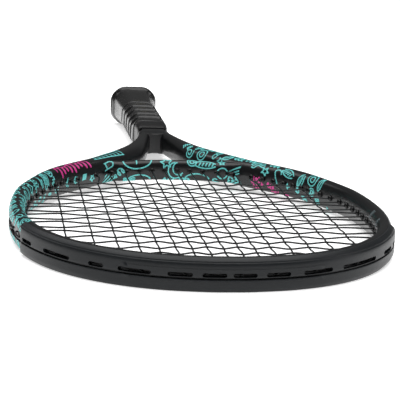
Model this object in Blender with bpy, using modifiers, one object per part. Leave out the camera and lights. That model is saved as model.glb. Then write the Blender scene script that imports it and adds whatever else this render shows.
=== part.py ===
"""Tennis racket, strung and gripped, lying flat.

Units are metres. +X is to the right, +Y runs from the head's tip to the butt, and +Z is up, square to
the strings. Everything is parented to an empty at the centre of the head, in the string plane, so the
pieces are laid out from there; the empty's place puts the origin below the middle of the whole racket.
"""
import math

import bmesh
import bpy
from mathutils import Matrix, Vector

# ---------------------------------------------------------------- driving dimensions
LENGTH = 0.6858                 # overall, the usual 27 inches
TIP_TO_CENTRE = 0.1770          # from the head's centre to the outside of the bumper at the tip
BUTT_Y = LENGTH - TIP_TO_CENTRE
GAP = 0.0003                    # left between pieces that touch

# The hairpin tube: the middle line of its hoop is an egg-shaped superellipse.
HOOP_HALF_WIDTH = 0.1320
HOOP_TIP = 0.1692
HOOP_THROAT = 0.1635
HOOP_POWER = 2.16
HOOP_EGG = 0.10
HOOP_LAST_ANGLE = 22            # degrees past the widest point, where the shoulder takes over
HOOP_TUBE = 0.0059              # half of the tube's width across the hoop
BEAM = 0.0115                   # half of the tube's height
TUBE_WALL = 0.0014
# Shoulder, shaft and handle of the right leg: x, y, half width and half height of the tube.
LEG_STATIONS = [
    (0.1098, 0.0860, 0.0067, 0.0115),
    (0.0957, 0.1110, 0.0083, 0.0115),
    (0.0762, 0.1345, 0.0098, 0.0115),
    (0.0645, 0.1480, 0.0101, 0.0115),
    (0.0537, 0.1645, 0.0100, 0.0115),
    (0.0412, 0.1850, 0.0100, 0.0114),
    (0.0271, 0.2125, 0.0096, 0.0112),
    (0.0188, 0.2412, 0.0073, 0.0109),
    (0.0146, 0.2605, 0.0061, 0.0106),
    (0.0113, 0.2760, 0.0057, 0.0104),
    (0.0092, 0.2860, 0.0055, 0.0103),
    (0.0070, 0.2990, 0.0053, 0.0100),
    (0.0060, 0.3150, 0.0055, 0.0096),
    (0.0059, 0.3300, 0.00573, 0.0094),
    (0.0059, 0.4995, 0.00573, 0.0094),
]
RING_STEP = 0.0165              # between the tube's sections
STRAIGHT_Y = 0.3300             # from here to the end the legs are straight
GROOVE_DEPTH = 0.0030           # string groove round the outside of the hoop
GROOVE_HALF = 0.0034
GROOVE_FADE = 0.0180            # length over which the groove runs out on the shoulder

# The bridge closes the head above the throat.
BRIDGE_HALF_WIDTH = 0.1260      # its inner face carries on the hoop's inner outline
BRIDGE_INNER = 0.1535
BRIDGE_BACK = 0.1633
BRIDGE_BACK_DROP = 0.0047       # how far its back face falls away at BRIDGE_BACK_AT
BRIDGE_BACK_AT = 0.0415
BRIDGE_REACH = 0.0620
BRIDGE_HALF_HEIGHT = 0.0085
BRIDGE_GROOVE = 0.0028
BRIDGE_FAN = 0.19               # how far its outer holes lean towards the middle

# Strings
STRING_R = 0.00065
WEAVE = 0.0008                  # height of a string's middle over a crossing
MAIN_X = [0.0053, 0.0162, 0.0269, 0.0387, 0.0516, 0.0658, 0.0815, 0.1000]
BRIDGE_MAINS = 5                # the inner mains of each side that end in the bridge
CROSS_Y = [-0.1450, -0.1325, -0.1187, -0.1037, -0.0892, -0.0743, -0.0601, -0.0465, -0.0334, -0.0215,
           -0.0091, 0.0027, 0.0149, 0.0275, 0.0400, 0.0532, 0.0667, 0.0821, 0.0984]
MIN_HOLE_STEP = 0.0070          # between neighbouring holes along the tube
LOOP_SIDE = 0.0016              # mains loop on the upper side of the groove, crosses on the lower
LOOP_RISE = 0.00095             # of a loop's middle above the grommet base
LOOP_LEAD = 0.0026              # from a hole to where its loop reaches its side of the groove
LOOP_STEP = 0.0090              # between a loop's points
KNOT_SCALE = 2.6                # a tie-off knot, in string radii

# Grommets
GROMMET_SIDES = 6
GROMMET_R = 0.0019
GROMMET_BORE = 0.0012
GROMMET_BEAD = 0.0011           # how far a grommet's tip stands out inside the head
GROMMET_BASE = 0.0008
GROMMET_BASE_HALF = 0.0026
MOUTH_CLEAR = 0.0006            # from a grommet's tip to where its string may bend

# Bumper
BUMPER_END_Y = -0.0770
BUMPER_THICK = 0.0018
BUMPER_HALF = 0.0104
BUMPER_SLOT = 0.0024            # half height of the slot that the strings lie in
STRIP_GAP = 0.0010              # between the bumper's ends and the side grommet strips

# Neck and handle: y, half width, half height
HANDLE_CORNER = (0.56, 0.46)    # bevels of the handle's octagon, in half widths and half heights
FRONT_CORNER = (0.80, 0.70)     # the same at the handle's front end, where it meets the shafts
FLARE_CORNER = (0.59, 0.53)     # and at the flared butt
CORNERS = [(0.3150, FRONT_CORNER), (0.3450, HANDLE_CORNER), (0.4880, HANDLE_CORNER), (0.4990, FLARE_CORNER)]
CHANNEL_CORNER = (0.80, 0.56)
NECK_CORNER = (0.84, 0.74)
NECK_WRAP = [(0.2848, 0.0152, 0.0107), (0.2920, 0.0140, 0.0105), (0.3020, 0.0125, 0.0103)]
NECK_WRAP_THICK = 0.0008
WEB = [(0.2845, 0.0033, 0.0100), (0.2990, 0.0013, 0.0097), (0.3060, 0.0008, 0.0095)]
PALLET_BACK = 0.4990
PALLET = [(0.3150, 0.0123, 0.0108), (0.3450, 0.0146, 0.0133), (PALLET_BACK, 0.0153, 0.0136)]
CHANNEL = [(0.0118, 0.0099), (0.0122, 0.0098), (0.0122, 0.0098)]    # inside the pallets, round the legs
CAP = [(0.4780, 0.0166, 0.0149), (0.4880, 0.0168, 0.0151), (0.4990, 0.0210, 0.0181),
       (0.5075, 0.0210, 0.0181), (BUTT_Y, 0.0201, 0.0172)]
CAP_FLOOR = 0.0022              # thickness of the cap's end wall
WRAP_THICK = 0.0014
WRAP = [(0.3160, 0.0127, 0.0112), (0.3450, 0.0149, 0.0136), (0.4740, 0.0156, 0.0139),
        (0.4780, 0.0169, 0.0152), (0.4880, 0.0171, 0.0154), (0.4990, 0.0216, 0.0187),
        (0.5055, 0.0216, 0.0187)]
TAPE_Y = (0.3165, 0.3200)
TAPE_THICK = 0.0003
COLLAR = [(0.3045, 0.0149, 0.0127), (0.3065, 0.0152, 0.0133), (0.3160, 0.0159, 0.0146),
          (0.3215, 0.0164, 0.0153), (0.3225, 0.0162, 0.0151)]
COLLAR_WALL = 0.0010
DOOR_HALF = (0.0105, 0.0085)    # the trap door in the cap's end
DOOR_SKIRT = 0.0040
STAPLE_Y = 0.4830
STAPLE_Z = 0.0031
STAPLE_HALF = 0.0040
STAPLE_LEG = 0.0032
STAPLE_WIRE = 0.00045
STAPLE_ROOM = 0.00082
PLUG_LENGTH = 0.0100

BOTTOM_Z = -(WRAP[-1][2] + WRAP_THICK)
PATH_SAMPLES = 24               # points worked out between two of the path's stations
SECTION_CORNER = 0.52           # where the tube's top face turns down, in half widths
SECTION_SHOULDER = 0.55         # and where its side starts, in half heights
WELD = 0.000001


# ---------------------------------------------------------------- scene helpers
for old in list(bpy.data.objects):
    bpy.data.objects.remove(old, do_unlink=True)

racket = bpy.data.collections.new("tennis_racket")
cutters = bpy.data.collections.new("cutters")
for group in (racket, cutters):
    bpy.context.scene.collection.children.link(group)

head_centre = bpy.data.objects.new("head_centre", None)
head_centre.location = (0, TIP_TO_CENTRE - LENGTH / 2, -BOTTOM_Z)
racket.objects.link(head_centre)
bpy.context.view_layer.update()


def material(name, colour, roughness, metallic=0.0):
    """A plain Principled material."""
    made = bpy.data.materials.new(name)
    made.use_nodes = True
    shader = made.node_tree.nodes["Principled BSDF"]
    shader.inputs["Base Color"].default_value = (*colour, 1)
    shader.inputs["Roughness"].default_value = roughness
    shader.inputs["Metallic"].default_value = metallic
    return made


PAINT = material("frame_paint", (0.020, 0.021, 0.023), 0.35)
BUMPER_NYLON = material("bumper_nylon", (0.026, 0.028, 0.030), 0.5)
GROMMET_NYLON = material("grommet_nylon", (0.012, 0.012, 0.013), 0.4)
STRING_CORE = material("string_polyester", (0.045, 0.048, 0.050), 0.35)
PALLET_FOAM = material("pallet_foam", (0.55, 0.50, 0.38), 0.8)
CAP_PLASTIC = material("cap_plastic", (0.015, 0.015, 0.016), 0.45)
GRIP_LEATHER = material("grip_polyurethane", (0.030, 0.030, 0.030), 0.75)
TAPE_VINYL = material("tape_vinyl", (0.020, 0.020, 0.022), 0.5)
COLLAR_RUBBER = material("collar_rubber", (0.016, 0.016, 0.017), 0.6)
STAPLE_STEEL = material("staple_steel", (0.55, 0.56, 0.58), 0.3, 1.0)
PLUG_FOAM = material("plug_foam", (0.10, 0.10, 0.11), 0.9)


def add(name, mesh, look, place=(0, 0, 0)):
    """Puts a mesh in the racket, placed from the head's centre."""
    made = bpy.data.objects.new(name, mesh)
    racket.objects.link(made)
    made.parent = head_centre
    made.location = place
    made.data.materials.append(look)
    return made


def add_cutter(name, mesh):
    """Puts a mesh among the cutters, placed from the head's centre."""
    made = bpy.data.objects.new(name, mesh)
    cutters.objects.link(made)
    made.parent = head_centre
    made.hide_render = True
    made.display_type = "WIRE"
    return made


def boolean(target, cutter, operation):
    """Adds an exact Boolean modifier."""
    step = target.modifiers.new(f"{operation.lower()} {cutter.name}", "BOOLEAN")
    step.operation = operation
    step.solver = "EXACT"
    step.object = cutter
    return step


def mesh_from(name, build):
    """Runs a function on an empty bmesh and returns the mesh."""
    work = bmesh.new()
    build(work)
    mesh = bpy.data.meshes.new(name)
    work.to_mesh(mesh)
    work.free()
    return mesh


def skin(work, rings, capped=True):
    """Joins closed rings of equal length into a tube, with flat caps or open ends."""
    loops = [[work.verts.new(point) for point in ring] for ring in rings]
    count = len(loops[0])
    for front, back in zip(loops, loops[1:]):
        for i in range(count):
            j = (i + 1) % count
            work.faces.new((front[j], front[i], back[i], back[j]))
    if capped:
        work.faces.new(loops[0])
        work.faces.new(list(reversed(loops[-1])))
        bmesh.ops.recalc_face_normals(work, faces=work.faces)


def loft(name, rings, capped=True):
    return mesh_from(name, lambda work: skin(work, rings, capped))


def prism(work, start, end, radius, sides=GROMMET_SIDES):
    """A closed prism from one point to another."""
    along = end - start
    turn = along.to_track_quat("Z", "Y").to_matrix().to_4x4()
    place = Matrix.Translation((start + end) / 2) @ turn
    bmesh.ops.create_cone(work, cap_ends=True, segments=sides, radius1=radius, radius2=radius,
                          depth=along.length, matrix=place)


def octagon(y, half_width, half_height, corner=HANDLE_CORNER):
    """A bevelled section, square to Y; corner gives where its top ends and its side starts."""
    top = corner[0] * half_width
    side = corner[1] * half_height
    quarter = [(half_width, side), (top, half_height)]
    corners = quarter + [(-x, z) for x, z in reversed(quarter)]
    corners += [(-x, -z) for x, z in corners]
    return [Vector((x, y, z)) for x, z in corners]


def handle_corner(y):
    """The handle's bevels at y: small at its front end, and rounder at the flare."""
    if y <= CORNERS[0][0]:
        return CORNERS[0][1]
    for (low, before), (high, after) in zip(CORNERS, CORNERS[1:]):
        if y < high:
            share = (y - low) / (high - low)
            return tuple(a + (b - a) * share for a, b in zip(before, after))
    return CORNERS[-1][1]


def sleeve(name, stations, thickness, corner=None):
    """A hollow octagonal sleeve; the stations give its inner size, and the wall goes outwards."""
    inner = [octagon(y, a, b, corner or handle_corner(y)) for y, a, b in stations]
    outer = [octagon(y, a + thickness, b + thickness, corner or handle_corner(y)) for y, a, b in stations]

    def build(work):
        walls = [[[work.verts.new(p) for p in ring] for ring in rings] for rings in (outer, inner)]
        for wall in walls:
            for front, back in zip(wall, wall[1:]):
                for i in range(8):
                    j = (i + 1) % 8
                    work.faces.new((front[i], front[j], back[j], back[i]))
        for end in (0, -1):
            for i in range(8):
                j = (i + 1) % 8
                work.faces.new((walls[0][end][i], walls[0][end][j], walls[1][end][j], walls[1][end][i]))
        bmesh.ops.recalc_face_normals(work, faces=work.faces)

    return mesh_from(name, build)


def wire(name, routes, radius):
    """Four-sided wires, each through points that scale its radius."""
    data = bpy.data.curves.new(name, "CURVE")
    data.dimensions = "3D"
    data.bevel_depth = radius
    data.bevel_resolution = 0
    data.use_fill_caps = True
    for points in routes:
        line = data.splines.new("POLY")
        line.points.add(len(points) - 1)
        for target, (place, scale) in zip(line.points, points):
            target.co = (*place, 1)
            target.radius = scale
    return data


def solid_wire(name, routes, radius):
    """The same wires as closed solids, which can be a cutter."""
    line = bpy.data.objects.new(name, wire(name, routes, radius))
    cutters.objects.link(line)
    seen = line.evaluated_get(bpy.context.evaluated_depsgraph_get())
    mesh = bpy.data.meshes.new_from_object(seen)
    work = bmesh.new()
    work.from_mesh(mesh)
    bmesh.ops.remove_doubles(work, verts=work.verts, dist=WELD)
    bmesh.ops.recalc_face_normals(work, faces=work.faces)
    work.to_mesh(mesh)
    work.free()
    bpy.data.objects.remove(line)
    return mesh


# ---------------------------------------------------------------- the hairpin's path
def oval(angle, half_width, half_length):
    """A point of the head's outline; -90 degrees is the tip and 0 the widest part."""
    c = math.cos(math.radians(angle))
    s = math.sin(math.radians(angle))
    x = half_width * abs(c) ** (2 / HOOP_POWER) * (1 - HOOP_EGG * s)
    y = half_length * abs(s) ** (2 / HOOP_POWER)
    return math.copysign(x, c), math.copysign(y, s)


def hoop_stations():
    """Stations of the right half of the hoop, from just past the tip."""
    found = []
    for angle in range(-85, HOOP_LAST_ANGLE + 1, 9):
        half_length = HOOP_TIP if angle < 0 else HOOP_THROAT
        found.append((*oval(angle, HOOP_HALF_WIDTH, half_length), HOOP_TUBE, BEAM))
    return found


def spline(p0, p1, p2, p3, t):
    """Catmull-Rom between p1 and p2."""
    return [0.5 * (2 * b + (c - a) * t + (2 * a - 5 * b + 4 * c - d) * t * t
                   + (3 * b - a - 3 * c + d) * t ** 3) for a, b, c, d in zip(p0, p1, p2, p3)]


def sample_path():
    """Right half of the hairpin as (distance from the tip, x, y, half width, half height)."""
    tip = (0.0, -HOOP_TIP, HOOP_TUBE, BEAM)
    right = hoop_stations() + LEG_STATIONS
    before = (-right[0][0], *right[0][1:])
    after = (right[-1][0], 2 * right[-1][1] - right[-2][1], *right[-1][2:])
    points = [before, tip] + right + [after]
    samples = []
    travelled = 0.0
    for i in range(1, len(points) - 2):
        for step in range(PATH_SAMPLES):
            here = spline(*points[i - 1:i + 3], step / PATH_SAMPLES)
            if samples:
                travelled += math.hypot(here[0] - samples[-1][1], here[1] - samples[-1][2])
            samples.append((travelled, *here))
    last = right[-1]
    travelled += math.hypot(last[0] - samples[-1][1], last[1] - samples[-1][2])
    samples.append((travelled, *last))
    return samples


PATH = sample_path()
PATH_LENGTH = PATH[-1][0]


class Station:
    """The hairpin's section at a signed distance from the tip, positive to the right."""

    def __init__(self, distance):
        reach = min(abs(distance), PATH_LENGTH)
        index = 1
        while PATH[index][0] < reach and index < len(PATH) - 1:
            index += 1
        low, high = PATH[index - 1], PATH[index]
        part = (reach - low[0]) / (high[0] - low[0])
        x, y, self.half_width, self.half_height = [a + (b - a) * part for a, b in zip(low[1:], high[1:])]
        ahead = Vector((high[1] - low[1], high[2] - low[2], 0)).normalized()
        if reach < PATH[1][0]:
            ahead = Vector((1, 0, 0))
        side = 1 if distance >= 0 else -1
        self.centre = Vector((side * x, y, 0))
        self.out = Vector((side * ahead.y, -ahead.x, 0))

    def at(self, out, up):
        """A point of the section, from its middle."""
        return self.centre + self.out * out + Vector((0, 0, up))

    def inner(self):
        return self.at(-self.half_width, 0)


def place_where(test, low, high):
    """The distance from the tip at which a test of the station turns from true to false."""
    for _ in range(40):
        middle = (low + high) / 2
        if test(Station(middle)):
            low = middle
        else:
            high = middle
    return (low + high) / 2


WIDEST = place_where(lambda s: s.centre.y < 0, 0, PATH_LENGTH)
SHOULDER = place_where(lambda s: s.centre.y < LEG_STATIONS[4][1], 0, PATH_LENGTH)


def hole_places():
    """Where each string end leaves the right half of the hairpin, as distances from the tip."""
    found = {}
    for i, x in enumerate(MAIN_X):
        found["tip", i] = place_where(lambda s: s.inner().x < x, 0, WIDEST)
        if i >= BRIDGE_MAINS:
            found["throat", i] = place_where(lambda s: s.inner().x > x, WIDEST, SHOULDER)
    for j, y in enumerate(CROSS_Y):
        found["cross", j] = place_where(lambda s: s.inner().y < y, 0, SHOULDER)
    found["main_tie", 0] = (found["throat", 6] + found["cross", 18]) / 2
    found["cross_tie", 0] = (found["throat", 5] + found["throat", 6]) / 2
    found["cross_tie", 1] = (found["tip", 4] + found["tip", 5]) / 2
    order = sorted(found, key=found.get)
    for _ in range(30):
        for near, far in zip(order, order[1:]):
            short = MIN_HOLE_STEP - (found[far] - found[near])
            if short > 0:
                found[near] -= short / 2
                found[far] += short / 2
    return found


HOLES = hole_places()
GROOVE_END = HOLES["throat", BRIDGE_MAINS] + 0.006
STRAIGHT = place_where(lambda s: s.centre.y < STRAIGHT_Y, SHOULDER, PATH_LENGTH)
RING_COUNT = round(STRAIGHT / RING_STEP)
RING_PITCH = STRAIGHT / RING_COUNT
BUMPER_END = RING_PITCH * round(place_where(lambda s: s.centre.y < BUMPER_END_Y, 0, WIDEST) / RING_PITCH)


def groove_depth(distance):
    past = (abs(distance) - GROOVE_END - RING_PITCH) / GROOVE_FADE
    return GROOVE_DEPTH * min(1.0, max(0.0, 1 - past))


def has_tie(kind, index, side):
    """Which sides a tie-off hole is on."""
    if kind == "cross_tie":
        return side == (1 if index == 0 else -1)
    return True


def all_holes():
    """Every hole in the hairpin: its key, its side and its signed distance."""
    for (kind, index), distance in HOLES.items():
        for side in (1, -1):
            if has_tie(kind, index, side):
                yield (kind, index), side, side * distance


# ---------------------------------------------------------------- frame
def tube_ring(distance, grow=0.0, grooved=True):
    """The hairpin's section, from its upper outer corner round the outside."""
    s = Station(distance)
    w = s.half_width + grow
    h = s.half_height + grow
    depth = groove_depth(distance) if grooved else 0.0
    lip = GROOVE_HALF + 0.0002
    right = [(SECTION_CORNER * w, h), (w, SECTION_SHOULDER * h), (w, lip), (w - depth, GROOVE_HALF - 0.0001)]
    left = [(-w, SECTION_SHOULDER * h), (-SECTION_CORNER * w, h)]
    upper = [(n, z) for n, z in left] + right
    ring = upper + [(n, -z) for n, z in reversed(upper)]
    return [s.at(n, z) for n, z in reversed(ring)]


def ring_distances():
    """Distances of the sections from the left end of the hairpin to the right end."""
    half = [RING_PITCH * i for i in range(1, RING_COUNT + 1)] + [PATH_LENGTH]
    return [-d for d in reversed(half)] + [0.0] + half


def rings_between(low, high):
    """The hairpin's own section distances inside a stretch, with the stretch's ends."""
    inside = [d for d in ring_distances() if low + RING_PITCH / 4 < d < high - RING_PITCH / 4]
    return [low] + inside + [high]


def make_hole_cutter():
    def build(work):
        for _, _, distance in all_holes():
            s = Station(distance)
            prism(work, s.at(-s.half_width - 0.003, 0), s.at(s.half_width + 0.002, 0), GROMMET_R + GAP)

    return add_cutter("hoop_holes", mesh_from("hoop_holes", build))


def make_frame():
    rings = [tube_ring(d) for d in ring_distances()]
    frame = add("frame", loft("frame", rings, capped=False), PAINT)
    wall = frame.modifiers.new("wall", "SOLIDIFY")
    wall.thickness = TUBE_WALL
    wall.offset = -1
    wall.use_even_offset = True
    boolean(frame, make_hole_cutter(), "DIFFERENCE")
    return frame


def make_hairpin_cutter():
    """The hairpin's outer form with clearance, closed, for what fits round it."""
    rings = [tube_ring(d, grow=GAP, grooved=False) for d in ring_distances()]
    return add_cutter("hairpin_room", loft("hairpin_room", rings))


# ---------------------------------------------------------------- bridge
def bridge_inner(x):
    """The y of the bridge's inner face, found on the head's inner outline."""
    low, high = 0.0, 90.0
    for _ in range(40):
        middle = (low + high) / 2
        if oval(middle, BRIDGE_HALF_WIDTH, BRIDGE_INNER)[0] > abs(x):
            low = middle
        else:
            high = middle
    return oval(low, BRIDGE_HALF_WIDTH, BRIDGE_INNER)[1]


def bridge_back(x):
    return BRIDGE_BACK - BRIDGE_BACK_DROP * (x / BRIDGE_BACK_AT) ** 2


def bridge_hole(index):
    """Inner and outer mouth of a right-hand bridge hole; the outer ones fan in at the back."""
    x = MAIN_X[index]
    lean = BRIDGE_FAN * (x / MAIN_X[BRIDGE_MAINS - 1]) ** 2
    back_x = x * (1 - lean)
    return Vector((x, bridge_inner(x), 0)), Vector((back_x, bridge_back(back_x) - BRIDGE_GROOVE, 0))


def mirrored(point, side):
    return Vector((side * point.x, point.y, point.z))


def make_bridge(hairpin_room):
    h = BRIDGE_HALF_HEIGHT
    rings = []
    steps = 14
    for i in range(steps + 1):
        x = BRIDGE_REACH * (2 * i / steps - 1)
        inner, back = bridge_inner(x), bridge_back(x)
        half = [(inner, 0.55 * h), (inner + 0.0028, h), (back - 0.0026, h), (back, 0.58 * h),
                (back, GROOVE_HALF), (back - BRIDGE_GROOVE, GROOVE_HALF - 0.0003)]
        ring = half + [(y, -z) for y, z in reversed(half)]
        rings.append([Vector((x, y, z)) for y, z in ring])
    bridge = add("throat_bridge", loft("throat_bridge", rings), PAINT)

    def holes(work):
        for index in range(BRIDGE_MAINS):
            inner, outer = bridge_hole(index)
            reach = (outer - inner).normalized() * 0.004
            for side in (1, -1):
                prism(work, mirrored(inner - reach, side), mirrored(outer + reach, side), GROMMET_R + GAP)

    boolean(bridge, hairpin_room, "DIFFERENCE")
    boolean(bridge, add_cutter("bridge_holes", mesh_from("bridge_holes", holes)), "DIFFERENCE")
    return bridge


def make_neck():
    """The composite wrapped round both legs where they come together, and the web between them."""
    add("neck_wrap", sleeve("neck_wrap", NECK_WRAP, NECK_WRAP_THICK, NECK_CORNER), PAINT)
    rings = [octagon(y, a, b, (0.9, 0.9)) for y, a, b in WEB]
    add("throat_web", loft("throat_web", rings), PAINT)


# ---------------------------------------------------------------- grommets and bumper
def grommet_floor(s):
    """How far out the underside and the top of a grommet base lie."""
    under = s.half_width - GROOVE_DEPTH + GAP
    return under, under + GROMMET_BASE


def barrel_meshes(name, holes):
    """Barrels to be joined to a strip, and the string channels to be cut through it."""
    def barrels(work):
        for start, end in holes:
            prism(work, start, end, GROMMET_R)

    def channels(work):
        for start, end in holes:
            past = (end - start).normalized() * 0.003
            prism(work, start - past, end + past, GROMMET_BORE)

    return (add_cutter(f"{name}_barrels", mesh_from(f"{name}_barrels", barrels)),
            add_cutter(f"{name}_channels", mesh_from(f"{name}_channels", channels)))


def hoop_barrels(keep):
    """Start and end of the barrels whose holes pass a test."""
    found = []
    for _, _, distance in all_holes():
        if keep(distance):
            s = Station(distance)
            under, top = grommet_floor(s)
            found.append((s.at(-s.half_width - GROMMET_BEAD, 0), s.at((under + top) / 2, 0)))
    return found


def finish_strip(strip, name, holes):
    barrels, channels = barrel_meshes(name, holes)
    boolean(strip, barrels, "UNION")
    boolean(strip, channels, "DIFFERENCE")
    return strip


def make_side_strip(name, side):
    start = BUMPER_END + STRIP_GAP
    rings = []
    for distance in rings_between(start, GROOVE_END):
        s = Station(side * distance)
        under, top = grommet_floor(s)
        half = GROMMET_BASE_HALF
        rings.append([s.at(under, -half), s.at(top, -half), s.at(top, half), s.at(under, half)])
    strip = add(name, loft(name, rings), GROMMET_NYLON)
    return finish_strip(strip, name, hoop_barrels(lambda d: d * side > start))


def make_throat_strip():
    reach = BRIDGE_BACK_AT + 0.0021
    steps = 10
    rings = []
    for i in range(steps + 1):
        x = reach * (2 * i / steps - 1)
        under = bridge_back(x) - BRIDGE_GROOVE + GAP
        top = under + GROMMET_BASE
        half = GROMMET_BASE_HALF
        rings.append([Vector((x, under, -half)), Vector((x, top, -half)), Vector((x, top, half)),
                      Vector((x, under, half))])
    strip = add("throat_grommet_strip", loft("throat_grommet_strip", rings), GROMMET_NYLON)
    holes = []
    for index in range(BRIDGE_MAINS):
        inner, outer = bridge_hole(index)
        along = (outer - inner).normalized()
        bead = inner - along * GROMMET_BEAD
        base = outer + along * (GAP + GROMMET_BASE / 2)
        holes += [(mirrored(bead, side), mirrored(base, side)) for side in (1, -1)]
    return finish_strip(strip, "throat_grommet_strip", holes)


def make_bumper():
    """The guard round the tip, in one piece with the grommets that it covers."""
    rings = []
    for distance in rings_between(-BUMPER_END, BUMPER_END):
        s = Station(distance)
        w = s.half_width
        under, top = grommet_floor(s)
        face = w + BUMPER_THICK
        clear = w + GAP
        outside = [(w - 0.0004, BUMPER_HALF), (face, 0.0068), (face, BUMPER_SLOT + 0.0002), (top, BUMPER_SLOT)]
        inside = [(under, GROOVE_HALF - 0.0005), (clear, GROOVE_HALF - 0.0002), (clear, 0.0065),
                  (w - 0.0016, BUMPER_HALF - 0.0004)]
        lower_inside = [(n, -z) for n, z in reversed(inside)]
        ring = outside + [(n, -z) for n, z in reversed(outside)] + lower_inside + inside
        rings.append([s.at(n, z) for n, z in ring])
    bumper = add("bumper_guard", loft("bumper_guard", rings), BUMPER_NYLON)
    return finish_strip(bumper, "bumper_guard", hoop_barrels(lambda d: abs(d) < BUMPER_END))


# ---------------------------------------------------------------- strings
def mouth(distance):
    """Where a string may bend inside the head, and where it turns outside, for a hoop hole."""
    s = Station(distance)
    top = grommet_floor(s)[1]
    return (s.at(-s.half_width - GROMMET_BEAD - MOUTH_CLEAR, 0), s.at(top + LOOP_RISE, 0))


def hoop_loop(start, end, up):
    """Points of a loop in the groove between two holes, without the holes' own points."""
    lead = math.copysign(LOOP_LEAD, end - start)
    inner_start, inner_end = start + lead, end - lead
    steps = max(1, round(abs(inner_end - inner_start) / LOOP_STEP))
    points = []
    for i in range(steps + 1):
        s = Station(inner_start + (inner_end - inner_start) * i / steps)
        points.append(s.at(grommet_floor(s)[1] + LOOP_RISE, up))
    return points


def bridge_mouth(index, side):
    inner, outer = bridge_hole(index)
    along = (outer - inner).normalized()
    bend = inner - along * (GROMMET_BEAD + MOUTH_CLEAR)
    turn = outer + along * (GAP + GROMMET_BASE + LOOP_RISE)
    return mirrored(bend, side), mirrored(turn, side)


def bridge_loop(start_x, end_x):
    """Points of a loop along the bridge's back."""
    points = []
    lead = math.copysign(LOOP_LEAD / 2, end_x - start_x)
    for x in (start_x + lead, end_x - lead):
        y = bridge_back(x) - BRIDGE_GROOVE + GAP + GROMMET_BASE + LOOP_RISE
        points.append(Vector((x, y, LOOP_SIDE)))
    return points


def string_limits(index):
    """The lowest and highest y that a main reaches inside the head."""
    low = mouth(HOLES["tip", index])[0].y
    if index < BRIDGE_MAINS:
        high = bridge_mouth(index, 1)[0].y
    else:
        high = mouth(HOLES["throat", index])[0].y
    return low, high


def crosses(index, row):
    """Whether a main and a cross string really cross."""
    low, high = string_limits(index)
    end_x = mouth(HOLES["cross", row])[0].x
    return MAIN_X[index] < end_x - 0.001 and low + 0.0005 < CROSS_Y[row] < high - 0.001


def weave_height(index, side, row):
    """Height of a main over a cross: each string goes over and under by turns."""
    column = len(MAIN_X) + index if side > 0 else len(MAIN_X) - 1 - index
    return WEAVE if (column + row) % 2 else -WEAVE


def main_run(index, side):
    """A main between its two bends, from the throat to the tip."""
    points = []
    for row in reversed(range(len(CROSS_Y))):
        if crosses(index, row):
            points.append(Vector((side * MAIN_X[index], CROSS_Y[row], weave_height(index, side, row))))
    return points


def main_half(side):
    """The main string of one side, from the middle of the throat to its knot."""
    points = []
    for index in range(len(MAIN_X)):
        tip_bend, tip_turn = mouth(side * HOLES["tip", index])
        if index < BRIDGE_MAINS:
            throat_bend, throat_turn = bridge_mouth(index, side)
        else:
            throat_bend, throat_turn = mouth(side * HOLES["throat", index])
        run = [throat_turn, throat_bend] + main_run(index, side) + [tip_bend, tip_turn]
        if index % 2 == 0:
            points += run
            points += hoop_loop(side * HOLES["tip", index], side * HOLES["tip", index + 1], LOOP_SIDE)
        else:
            points += list(reversed(run))
            if index + 1 < BRIDGE_MAINS:
                next_turn = bridge_mouth(index + 1, side)[1]
                points += bridge_loop(throat_turn.x, next_turn.x)
            elif index + 1 < len(MAIN_X):
                points += hoop_loop(side * HOLES["throat", index], side * HOLES["throat", index + 1], LOOP_SIDE)
    tie = side * HOLES["main_tie", 0]
    points += hoop_loop(side * HOLES["throat", len(MAIN_X) - 1], tie, LOOP_SIDE)
    return points + list(reversed(mouth(tie)))


def cross_row(row):
    """A cross string from its left turn to its right turn."""
    left_bend, left_turn = mouth(-HOLES["cross", row])
    right_bend, right_turn = mouth(HOLES["cross", row])
    points = [left_turn, left_bend]
    columns = [(index, -1) for index in reversed(range(len(MAIN_X)))] + [(i, 1) for i in range(len(MAIN_X))]
    for index, side in columns:
        if crosses(index, row):
            points.append(Vector((side * MAIN_X[index], CROSS_Y[row], -weave_height(index, side, row))))
    return points + [right_bend, right_turn]


def cross_route():
    """The whole cross string, from its knot near the tip to its knot at the right shoulder."""
    tie = -HOLES["cross_tie", 1]
    points = list(mouth(tie)) + hoop_loop(tie, -HOLES["cross", 0], -LOOP_SIDE)
    side = 1
    for row in range(len(CROSS_Y)):
        run = cross_row(row)
        points += run if side > 0 else list(reversed(run))
        if row + 1 < len(CROSS_Y):
            points += hoop_loop(side * HOLES["cross", row], side * HOLES["cross", row + 1], -LOOP_SIDE)
        side = -side
    tie = HOLES["cross_tie", 0]
    points += hoop_loop(HOLES["cross", len(CROSS_Y) - 1], tie, -LOOP_SIDE)
    return points + list(reversed(mouth(tie)))


def make_string(name, route):
    """A string along its route, thickened into a knot at each end."""
    def knot(bend, turn):
        inward = (bend - turn).normalized()
        return [(bend + inward * 0.0030, 0.9), (bend + inward * 0.0024, KNOT_SCALE),
                (bend + inward * 0.0008, KNOT_SCALE), (bend + inward * 0.0001, 1.0)]

    start = knot(route[0], route[1])
    end = knot(route[-1], route[-2])
    points = start + [(p, 1.0) for p in route[1:-1]] + list(reversed(end))
    return add(name, wire(name, [points], STRING_R), STRING_CORE)


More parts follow.
